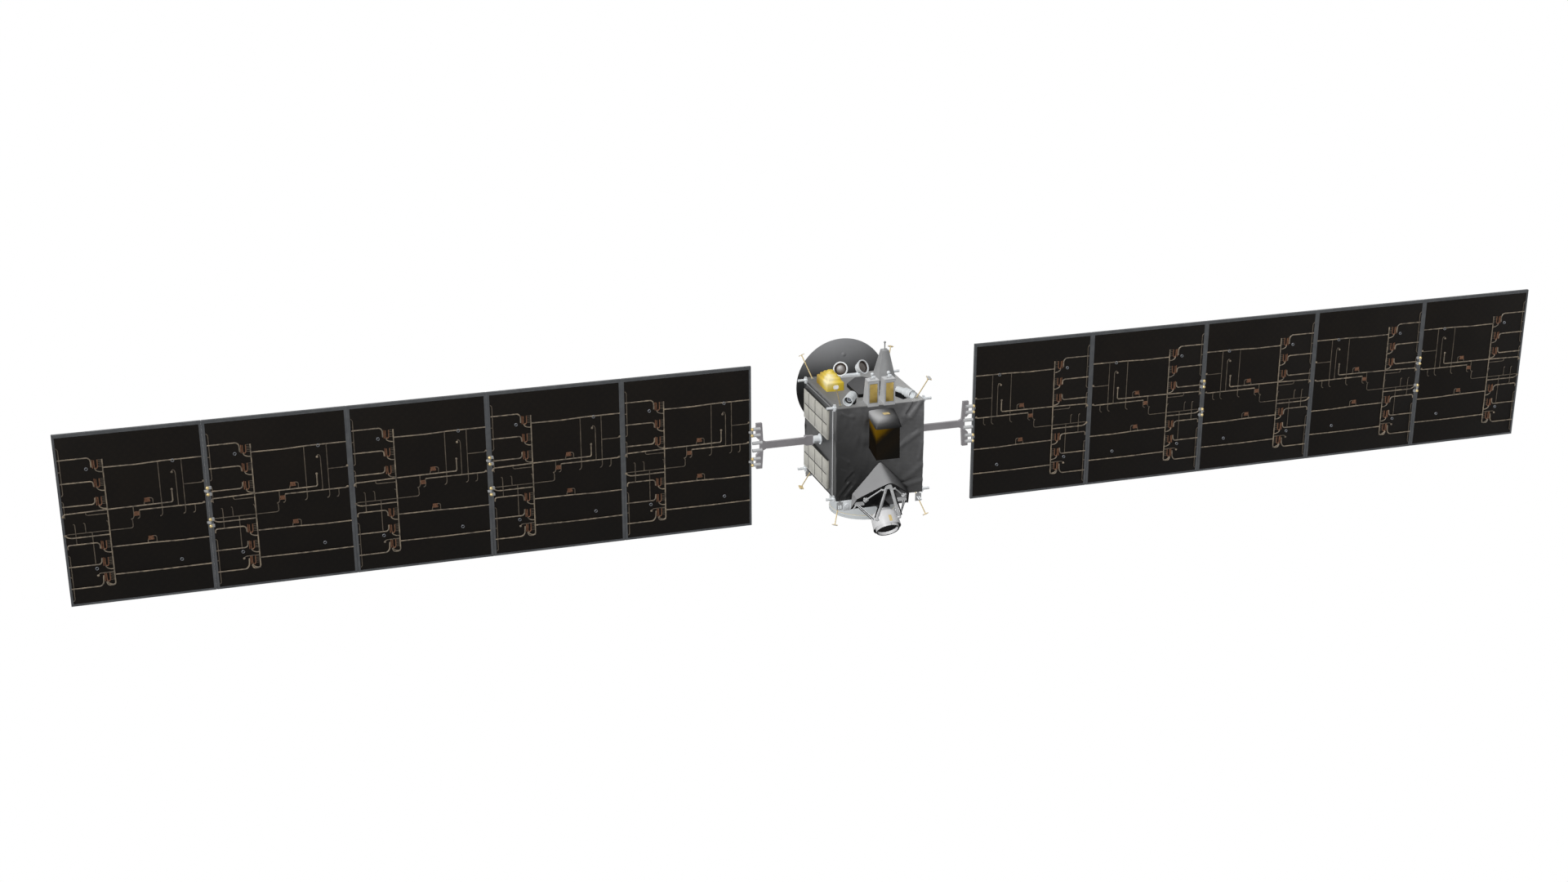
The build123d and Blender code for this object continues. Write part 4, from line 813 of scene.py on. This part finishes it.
# side walls: a raised skin, a rail along its top, a light strip at its front edge, and two louver banks
wall = {"skin": ((0.5795, 0.050, 0.985), (0.0025, 0.555, 0.578)),
        "strip": ((0.5812, -0.484, 0.980), (0.0028, 0.014, 0.572)),
        "rail": ((0.580, 1.572), (-0.520, -0.516, 0.598, 0.602), (0.0075, 0.009, 0.009, 0.0075))}
louver = {"bottoms": (0.446, 1.1155), "tall": 0.3895, "front": -0.345, "back": 0.590, "face": 0.6065, "frame": 0.016,
          "rowGap": 0.016, "columnGap": 0.019, "bladeGap": 0.004, "bladesPerColumn": 4,
          "splits": (0, 0.20, 0.52, 0.81, 1), "bladeHalf": 0.0025, "barPlace": 0.5925, "barHalf": 0.0165,
          "cornerLap": 0.001}
paneTall = (louver["tall"] - 2 * louver["frame"] - louver["rowGap"]) / 2
middle, halfLong = (louver["front"] + louver["back"]) / 2, (louver["back"] - louver["front"]) / 2
edges = louver["front"] + louver["frame"] + np.array(louver["splits"]) * 2 * (halfLong - louver["frame"])
near, far = edges[:-1] + louver["columnGap"] / 2, edges[1:] - louver["columnGap"] / 2
share = (np.arange(louver["bladesPerColumn"]) + 0.5) / louver["bladesPerColumn"]
across = (near[:, None] + share * (far - near)[:, None]).ravel()
halfWide = np.repeat(((far - near) / louver["bladesPerColumn"] - louver["bladeGap"]) / 2, louver["bladesPerColumn"])
low = np.array([b + louver["frame"] + paneTall / 2 + r * (paneTall + louver["rowGap"])
                for b in louver["bottoms"] for r in (0, 1)])
across, up = [grid.ravel() for grid in np.meshgrid(across, low)]
halves = np.stack([np.full(len(up), louver["bladeHalf"]), np.tile(halfWide, len(low)),
                   np.full(len(up), paneTall / 2)], -1)
bars = []
for bottom in louver["bottoms"]:
    bars += [(middle, bottom + z, halfLong + louver["cornerLap"], louver["frame"] / 2 - louver["cornerLap"])
             for z in (louver["frame"] / 2, louver["tall"] - louver["frame"] / 2)]
    bars += [(y, bottom + louver["tall"] / 2, louver["frame"] / 2 + louver["cornerLap"],
              louver["tall"] / 2 - 2 * louver["cornerLap"])
             for y in (louver["front"] + louver["frame"] / 2, louver["back"] - louver["frame"] / 2)]
for side, sign in sides.items():
    mirror = np.array([sign, 1, 1])
    (railX, railZ), railPlaces, railRadii = wall["rail"]
    makePiece(side + "WallSkin", softBlocks(wall["skin"][0] * mirror, wall["skin"][1], 0.0015), wallSkin)
    makePiece(side + "TopRail", sweep([(sign * railX, y, railZ) for y in railPlaces], railRadii, (0, 0, 1), 12, 0.9),
              topRailGrey)
    makePiece(side + "EdgeStrip", softBlocks(wall["strip"][0] * mirror, wall["strip"][1], 0.002), railGrey)
    centres = np.stack([np.full(len(up), sign * louver["face"]), across, up], -1)
    makePiece(side + "LouverBlades", softBlocks(centres, halves, 0.0009), louverMetal)
    frames = [softBlocks((sign * louver["barPlace"], y, z), (louver["barHalf"], wide, tall), 0.002)
              for y, z, wide, tall in bars]
    makePiece(side + "LouverFrames", frames, louverMetal)

# the drive's seam rings on each white can: place along the can, width
seamRings = [(0.024, 0.006), (0.098, 0.007)]
for side, sign in sides.items():
    rings = [revolve([(0.0505, h - w), (0.0525, h - w * 0.5), (0.0525, h + w * 0.5), (0.0505, h + w), (0.0480, h)],
                     (sign * bus["halfWidth"], 0, wing["axis"]), (sign, 0, 0)) for h, w in seamRings]
    makePiece(side + "DriveRings", rings, whitePaint)

# hood over the sensor box: chord + k(u) (profile - chord), k = sqrt(1 - |u|^3.2), so both ends are drawn in flat
hood = {"halfWidth": 0.168, "power": 3.2, "bend": 0.02, "foot": [(-0.905, 1.404), (-0.637, 1.479)],
        "patch": [(0.012, -0.800, 1.5575), (0.042, 0.034, 0.0022)],
        "chord": [(-0.637, 1.560), (-0.938, 1.412)],
        "profile": [(-0.637, 1.567), (-0.845, 1.553), (-0.880, 1.546), (-0.910, 1.526), (-0.930, 1.490),
                    (-0.938, 1.437), (-0.938, 1.404)]}
fan = np.cos(np.linspace(0, np.pi / 2, 22))
u = np.concatenate([-fan, fan[-2::-1]])
line = roundedRun([(0, y, z) for y, z in hood["profile"]], hood["bend"], 4)[:, 1:]
share = np.concatenate([[0], np.cumsum(np.linalg.norm(np.diff(line, axis=0), axis=1))])
start, end = np.array(hood["chord"])
chord = start + (share / share[-1])[:, None] * (end - start)
swell = np.sqrt(np.clip(1 - np.abs(u) ** hood["power"], 0, 1))
shell = chord[:, None] + (line - chord)[:, None] * swell[None, :, None]
rows = np.concatenate([shell, np.broadcast_to(np.array(hood["foot"])[:, None], (2, len(u), 2))], 0)
points = np.concatenate([np.broadcast_to(hood["halfWidth"] * u, rows.shape[:2])[..., None], rows], -1)
hoodShell = makePiece("hoodShell", closedSheet(points), hoodCoat, angle=50)
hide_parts("front_hood")
makePiece("hoodPatch", softBlocks(*hood["patch"], 0.0015), tanTape)

# gold box: rounded rectangles stacked from foot to dome; half width, half depth, corner radius, height above the deck
goldBox = {"centre": (-0.3825, 0.204),
           "rings": [(0.1155, 0.209, 0.008, 0.0), (0.1155, 0.209, 0.010, 0.100), (0.1135, 0.207, 0.012, 0.109),
                     (0.1080, 0.201, 0.014, 0.1145), (0.0945, 0.172, 0.018, 0.1165), (0.0905, 0.166, 0.020, 0.122),
                     (0.0895, 0.164, 0.022, 0.146), (0.0870, 0.161, 0.024, 0.153), (0.0810, 0.153, 0.026, 0.1570),
                     (0.0700, 0.121, 0.028, 0.1585), (0.0660, 0.116, 0.030, 0.163), (0.0640, 0.113, 0.032, 0.182),
                     (0.0600, 0.107, 0.034, 0.1885), (0.0540, 0.060, 0.050, 0.1925), (0.0510, 0.051, 0.050, 0.200),
                     (0.0470, 0.047, 0.046, 0.212), (0.0360, 0.036, 0.035, 0.221), (0.0150, 0.015, 0.014, 0.2245)]}
rings = np.array(goldBox["rings"])
angle = np.radians(np.concatenate([start + np.linspace(0, 90, 9) for start in (0, 90, 180, 270)]))
ringX = (rings[:, 0] - rings[:, 2])[:, None] * np.repeat([1, -1, -1, 1], 9) + rings[:, 2, None] * np.cos(angle)
ringY = (rings[:, 1] - rings[:, 2])[:, None] * np.repeat([1, 1, -1, -1], 9) + rings[:, 2, None] * np.sin(angle)
ringZ = np.broadcast_to(bus["top"] + rings[:, 3, None], ringX.shape)
points = np.stack([goldBox["centre"][0] + ringX, goldBox["centre"][1] + ringY, ringZ], -1).reshape(-1, 3)
goldShell = makePiece("goldBoxShell", (points, capped(len(rings), len(angle))), goldFilm, angle=50)
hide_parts("stepped_box")

# camera housings: gold window in a grey frame, lid and ball antenna on each
housing = {"aside": 0.1075, "window": (-0.6555, 1.785), "windowHalf": (0.050, 0.0022, 0.1225), "frameY": -0.6562,
           "flatAway": 0.1265, "flatHalf": (0.0565, 0.003, 0.004), "tallAway": 0.0535,
           "tallHalf": (0.0035, 0.003, 0.1225), "lid": (-0.600, 1.9505), "lidHalf": (0.0745, 0.0575, 0.0075),
           "ballZ": 2.021, "ball": 0.0228, "stem": (0.0105, -0.052, -0.022), "foot": (0.016, -0.612, 1.9835),
           "footHalf": (0.020, 0.017, 0.0135)}
stemWide, stemFoot, stemHead = housing["stem"]
arc = np.radians(np.linspace(-70, 90, 13))
ball = np.stack([np.cos(arc), np.sin(arc)], 1) * housing["ball"]
ball = np.concatenate([[(stemWide, stemFoot), (stemWide, stemHead)], ball, [(0.0, stemFoot)]])
for side, sign in sides.items():
    x, (windowY, middle) = sign * housing["aside"], housing["window"]
    makePiece(side + "CameraWindow", softBlocks((x, windowY, middle), housing["windowHalf"], 0.0012), windowGold)
    bars = [softBlocks((x, housing["frameY"], middle + s * housing["flatAway"]), housing["flatHalf"], 0.0012)
            for s in (-1, 1)]
    bars += [softBlocks((x + s * housing["tallAway"], housing["frameY"], middle), housing["tallHalf"], 0.0012)
             for s in (-1, 1)]
    makePiece(side + "CameraFrame", bars, cameraGrey)
    makePiece(side + "CameraLid", softBlocks((x, *housing["lid"]), housing["lidHalf"], 0.003), palePaint)
    foot = softBlocks(housing["foot"] + np.array([x, 0, 0]), housing["footHalf"], 0.003)
    makePiece(side + "BallAntenna", [revolve(ball, (x, housing["lid"][0], housing["ballZ"]), (0, 0, 1), 24), foot],
              whitePaint, angle=40)

# from here on a profile is (radius, height above the mouth) and goes round its tube's axis
# cup sensors: brown ring and a satin domed disc in each white cup
cupSensor = {"place": (0.158, 0.462, 1.762), "faces": (0.45, -0.75, 0.48),
             "dome": [(0.0, -0.0120), (0.020, -0.0125), (0.042, -0.0150), (0.058, -0.0190), (0.068, -0.0250),
                      (0.071, -0.0310), (0.071, -0.0362), (0.0, -0.0362)],
             "collar": [(0.0705, -0.0362), (0.0705, -0.018), (0.0795, -0.012), (0.0805, -0.012), (0.0805, -0.0362)],
             "lip": [(0.0795, -0.004), (0.0795, 0.0015), (0.0875, 0.0025), (0.0960, 0.0015), (0.0968, -0.008),
                     (0.0950, -0.010)]}
for side, sign in sides.items():
    tube = [cupSensor[key] * np.array([sign, 1, 1]) for key in ("place", "faces")]
    makePiece(side + "CupDisc", revolve(cupSensor["dome"], *tube, 56, False), brownDisc)
    makePiece(side + "CupCollar", revolve(cupSensor["collar"], *tube, 56), brownRing)
    makePiece(side + "CupLip", revolve(cupSensor["lip"], *tube, 56), whitePaint)

# star trackers: white inside, a black floor with the lens in its middle, a lip round the mouth
trackers = {"left": {"mouth": (-0.440, -0.632, 1.708), "out": (-0.5548, -0.8320, 0), "bore": 0.054, "shell": 0.062},
            "right": {"mouth": (0.418, -0.630, 1.708), "out": (0.3859, -0.9225, 0), "bore": 0.050, "shell": 0.058}}
eye = [(0.0, -0.074), (0.014, -0.0755), (0.024, -0.080), (0.027, -0.086), (0.0, -0.086)]
cell = [(0.0262, -0.092), (0.0262, -0.076), (0.031, -0.076), (0.034, -0.092)]
for side, sizes in trackers.items():
    b, o, tube = sizes["bore"], sizes["shell"], (sizes["mouth"], sizes["out"])
    lip = [(b - 0.001, -0.010), (b - 0.001, 0.001), (b + 0.003, 0.0025), (o + 0.0012, 0.001), (o + 0.0015, -0.010)]
    bands = [[(o - 0.001, h - 0.006), (o + 0.0016, h - 0.005), (o + 0.0016, h + 0.005), (o - 0.001, h + 0.006)]
             for h in (-0.052, -0.118)]
    floor = [(0.030, -0.080), (0.030, -0.086), (b + 0.0005, -0.086), (b + 0.0005, -0.080)]
    makePiece(side + "TrackerLip", [revolve(ring, *tube) for ring in [lip] + bands], whitePaint)
    makePiece(side + "TrackerFloor", revolve(floor, *tube), blackPaint)
    makePiece(side + "TrackerLens", revolve(eye, *tube, 36, False), lensGlass)
    makePiece(side + "TrackerCell", revolve(cell, *tube, 36), rodAnodised)

# ion engines: behind the can's lower edge is a recess, black as painted shade, a narrower ring stands in it, then a
# black lip round the pale bore and its grid
engine = {"cant": 47.0, "mouthY": 0.9635, "mouthZ": 0.051, "centreZ": 0.060,
          "can": [(0.0, 0.0440), (0.1355, 0.0430), (0.1330, 0.0010), (0.1475, 0.0030), (0.1505, 0.0580),
                  (0.1760, 0.0580), (0.1772, 0.0340), (0.1785, 0.0330), (0.1790, 0.0370), (0.1712, 0.2060),
                  (0.1690, 0.2130), (0.0810, 0.2820), (0.0740, 0.2865), (0.0, 0.2870)],
          "recess": [(0.1770, 0.0345), (0.1763, 0.0582), (0.1500, 0.0582), (0.1500, 0.0550), (0.1735, 0.0550),
                     (0.1748, 0.0345)],
          "lip": [(0.1480, 0.0045), (0.1476, -0.0015), (0.1450, -0.0035), (0.1370, -0.0035), (0.1335, -0.0010),
                  (0.1334, 0.0030)],
          "grid": [(0.0, 0.0445), (0.1345, 0.0440), (0.1335, 0.0400), (0.0, 0.0370)],
          "patch": [(0.1750, 0.049), (0.1796, 0.050), (0.1762, 0.134), (0.1715, 0.135)], "patchTurn": (-0.045, 0.17),
          "lead": [(0.1470, 0.004), (0.1492, 0.005), (0.1514, 0.031), (0.1490, 0.032)], "leadTurn": (0.070, 0.092),
          "feet": [(0.150, 0.965, 0.217, 0.020), (0.176, 0.883, 0.187, 0.011), (0.164, 0.941, 0.207, 0.011)],
          "footDepth": 0.168, "footLap": 0.3}
spots = {"frontEngine": ((0, -engine["mouthY"], engine["mouthZ"]), -1),
         "backEngine": ((0, engine["mouthY"], engine["mouthZ"]), 1), "coreEngine": ((0, 0, engine["centreZ"]), 0)}
lean = math.radians(engine["cant"])
for name, (mouth, way) in spots.items():
    axis = np.array([0, -way * math.sin(lean), math.cos(lean) if way else 1.0])
    makePiece(name + "Can", revolve(engine["can"], mouth, axis, 96, False), engineCoat,
                           angle=30)
    makePiece(name + "Rings", [revolve(engine[key], mouth, axis, 96) for key in ("recess", "lip")], blackPaint)
    makePiece(name + "Grid", revolve(engine["grid"], mouth, axis, 72, False), carbonGrid)
    if way:
        # the revolve starts at X and turns through the second axis; the patch sits on the side away from the probe
        away = math.atan2(np.dot([0, way, 0], np.cross(axis, [1.0, 0, 0])), 0)
        patchArc, leadArc = [[away + turn for turn in engine[key]] for key in ("patchTurn", "leadTurn")]
        makePiece(name + "Patch", revolve(engine["patch"], mouth, axis, 7, arc=patchArc), tanTape)
        makePiece(name + "Lead", revolve(engine["lead"], mouth, axis, 3, arc=leadArc), blackPaint)
        # a round boss under each strut's foot, square to the can
        bosses = []
        for x, y, z, radius in engine["feet"]:
            for sign in (-1, 1):
                foot = np.array([sign * x, way * y, z])
                middle = mouth + axis * ((foot - mouth) @ axis)
                reach = np.linalg.norm(foot - middle)
                run = np.linspace(engine["footDepth"], reach + engine["footLap"] * radius, 3)[:, None]
                bosses.append(sweep(middle + run * (foot - middle) / reach, radius, axis, 20))
        makePiece(name + "Bosses", bosses, rodAnodised)
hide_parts("outer_engines")
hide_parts("centre_engine")

# black rods along the lower outer edge of each strut and rod: start, end, offset, radius
strutBlackRods = [((0.036, -0.958, 0.618), (0.163, -0.967, 0.232), 0.024, 0.0085),
              ((0.325, -0.697, 0.327), (0.176, -0.883, 0.187), 0.0075, 0.0055),
              ((0.300, -0.693, 0.327), (0.164, -0.941, 0.207), 0.0075, 0.0055)]
for name, way in ends.items():
    leads = []
    for start, end, aside, radius in strutBlackRods:
        for sign in (-1, 1):
            first, last = np.array([start, end]) * (sign, way, 1)
            path = first + np.linspace(0.04, 0.94, 6)[:, None] * (last - first)
            leads.append(sweep(path + np.array([sign, 0, -0.4]) * aside, radius, (0, 1, 0), 8))
    makePiece(name + "StrutBlackRods", leads, blackPaint)

# shades: each roof is one sheet folded softly over its ridge, so the crown is round and the sides run flat
shade = {"apex": (0, -0.637, 0.846), "ridge": (0, -1.012, 0.698), "shoulder": (0.364, -0.637, 0.463),
         "corner": (0.347, -0.764, 0.432), "foot": (0.385, -0.640, 0.262), "fold": (0.05, 0.13), "half": 0.006,
         "cheekHalf": 0.004, "plate": [(0, 0.838), (0.357, 0.463), (0.381, 0.264)], "plateY": (-0.6372, -0.6450),
         "roofShadow": (-0.0075, -0.0095), "roofShadowReach": (0.97, 0.985), "lip": 0.0075, "hem": 0.0055}


def shadeRoof(lift, reach=1.0, front=1.0):
    # rows run from the wall to the open edge, columns from the left edge to the right one, u from -1 to 1;
    # place = ridge + w (edge - ridge) with w = (sqrt(u^2 + fold^2) - fold) / (sqrt(1 + fold^2) - fold)
    t, u = np.meshgrid(np.linspace(0.01, front, 14), np.linspace(-reach, reach, 45), indexing="ij")
    fold = shade["fold"][0] + t * (shade["fold"][1] - shade["fold"][0])
    w = (np.sqrt(u ** 2 + fold ** 2) - fold) / (np.sqrt(1 + fold ** 2) - fold)
    apex, ridge, shoulder, corner = [np.array(shade[key]) for key in ("apex", "ridge", "shoulder", "corner")]
    top = apex + t[..., None] * (ridge - apex)
    edge = shoulder + t[..., None] * (corner - shoulder)
    place = top + w[..., None] * (edge - top)
    return np.stack([u * edge[..., 0], place[..., 1], place[..., 2] + lift], -1)


def roofSheet(upper, lower, *limits):
    return np.concatenate([shadeRoof(upper, *limits), shadeRoof(lower, *limits)[::-1]])


shells = []
for name, way in ends.items():
    turned = np.array([1, way, 1])
    shells.append(closedSheet(roofSheet(shade["half"], -shade["half"]) * turned))
    lips = [sweep(shadeRoof(0)[-1] * turned, shade["lip"], (0, 0, 1), 10)]
    for sign in (-1, 1):
        tri = np.array([shade[key] for key in ("shoulder", "corner", "foot")]) * (sign, way, 1)
        out = unit(np.cross(tri[1] - tri[0], tri[2] - tri[0])) * shade["cheekHalf"]
        faces = [[0, 1, 2], [5, 4, 3], [0, 3, 4, 1], [1, 4, 5, 2], [2, 5, 3, 0]]
        shells.append((np.concatenate([tri - out, tri + out]), faces))
        hem = tri[1] + np.linspace(0, 1, 4)[:, None] * (tri[2] - tri[1])
        lips.append(sweep(hem, shade["hem"], (0, way, 0), 10))
    half = np.array(shade["plate"])
    loop = np.concatenate([half, half[:0:-1] * (-1, 1)])
    plate = np.concatenate([np.insert(loop, 1, way * y, axis=1) for y in shade["plateY"]])
    faces = [[0, 1, 2, 3, 4], [9, 8, 7, 6, 5]] + [[i, (i + 1) % 5, 5 + (i + 1) % 5, 5 + i] for i in range(5)]
    makePiece(name + "ShadePlate", (plate, faces), tentFilm)
    makePiece(name + "ShadeLip", lips, blackPaint)
    # painted shade: a black sheet just under each roof darkens its underside
    roofShadow = roofSheet(*shade["roofShadow"], *shade["roofShadowReach"]) * turned
    makePiece(name + "ShadeRoofShadow", closedSheet(roofShadow), blackPaint)
shadeShells = makePiece("shadeShells", shells, shadeCoat, angle=40)
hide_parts("engine_shades")

# dish: soft pads on the back of the skin over the feet of the three feed legs
legPad = {"reach": 0.430, "y": 0.7855, "height": 1.415, "lean": 0.3765,
          "profile": [(0.0, 0.0125), (0.007, 0.0113), (0.014, 0.0082), (0.021, 0.0043), (0.028, 0.0012),
                      (0.035, -0.001), (0.035, -0.004), (0.0, -0.004)]}
pads = []
for turn in np.radians((90, 210, 330)):
    arm = np.array([math.cos(turn), 0, math.sin(turn)])
    outward = arm * math.sin(legPad["lean"]) - (0, math.cos(legPad["lean"]), 0)
    foot = legPad["reach"] * arm + (0, legPad["y"], legPad["height"])
    pads.append(revolve(legPad["profile"], foot, outward, 28, False))
makePiece("feedLegPads", pads, dishCoat, angle=60)

# launch ring: tan bond line above the rim, a band round the top, and the clamp's bolts
ring = {"bond": [(0.4282, 0.0520), (0.4296, 0.0525), (0.4296, 0.0560), (0.4282, 0.0565)],
        "band": [(0.4275, 0.372), (0.4310, 0.373), (0.4310, 0.388), (0.4275, 0.389)],
        "bolts": 24, "boltTurn": 7.5, "boltReach": 0.4335, "boltHeight": 0.0225,
        "boltHalf": (0.0035, 0.006, 0.006)}
makePiece("ringBondLine", revolve(ring["bond"], (0, 0, 0), (0, 0, 1), 120), tanTape)
makePiece("ringTopBand", revolve(ring["band"], (0, 0, 0), (0, 0, 1), 120), ringPaint)
turn = fullTurn(ring["bolts"]) + math.radians(ring["boltTurn"])
cos, sin, none = np.cos(turn), np.sin(turn), 0 * turn
heads = np.stack([ring["boltReach"] * cos, ring["boltReach"] * sin, none + ring["boltHeight"]], -1)
spins = np.array([[cos, -sin, none], [sin, cos, none], [none, none, none + 1]]).transpose(2, 0, 1)
makePiece("ringBolts", softBlocks(heads, ring["boltHalf"], 0.0015, spins), steelBright)

# mast heads: a pale plate on the outer face of each tan head
mast = {"foot": (0.505, 0.550), "head": (0.612, 0.685), "reach": 0.292, "lift": 0.0090,
        "plateHalf": (0.0285, 0.0285, 0.0016)}
centres, spins = [], []
for x, y, z in [(a, b, c) for a in (-1, 1) for b in (-1, 1) for c in (-1, 1)]:
    foot = np.array([x * mast["foot"][0], y * mast["foot"][1], bus["top"] if z > 0 else bus["bottom"]])
    head = np.array([x * mast["head"][0], y * mast["head"][1], foot[2] + z * mast["reach"]])
    out = unit(head - foot)
    across = unit(np.cross(out, (0, 0, 1.0)))
    centres.append(head + out * mast["lift"])
    spins.append(np.stack([across, np.cross(out, across), out], -1))
plates = softBlocks(centres, mast["plateHalf"], 0.001, np.array(spins))
makePiece("mastHeadPlates", plates, palePaint)

# white square sensor plate at the lower left of the front, with a round cover
sensor = {"plate": [(-0.440, -0.6335, 0.322), (0.041, 0.0065, 0.068)], "cover": (-0.440, -0.640, 0.318),
          "profile": [(0.0, 0.0), (0.030, 0.0), (0.030, 0.008), (0.026, 0.012), (0.0, 0.013)]}
cover = revolve(sensor["profile"], sensor["cover"], (0, -1, 0), 36, False)
makePiece("cornerSensor", [softBlocks(*sensor["plate"], 0.003), cover], whitePaint)
print("bus dressed")
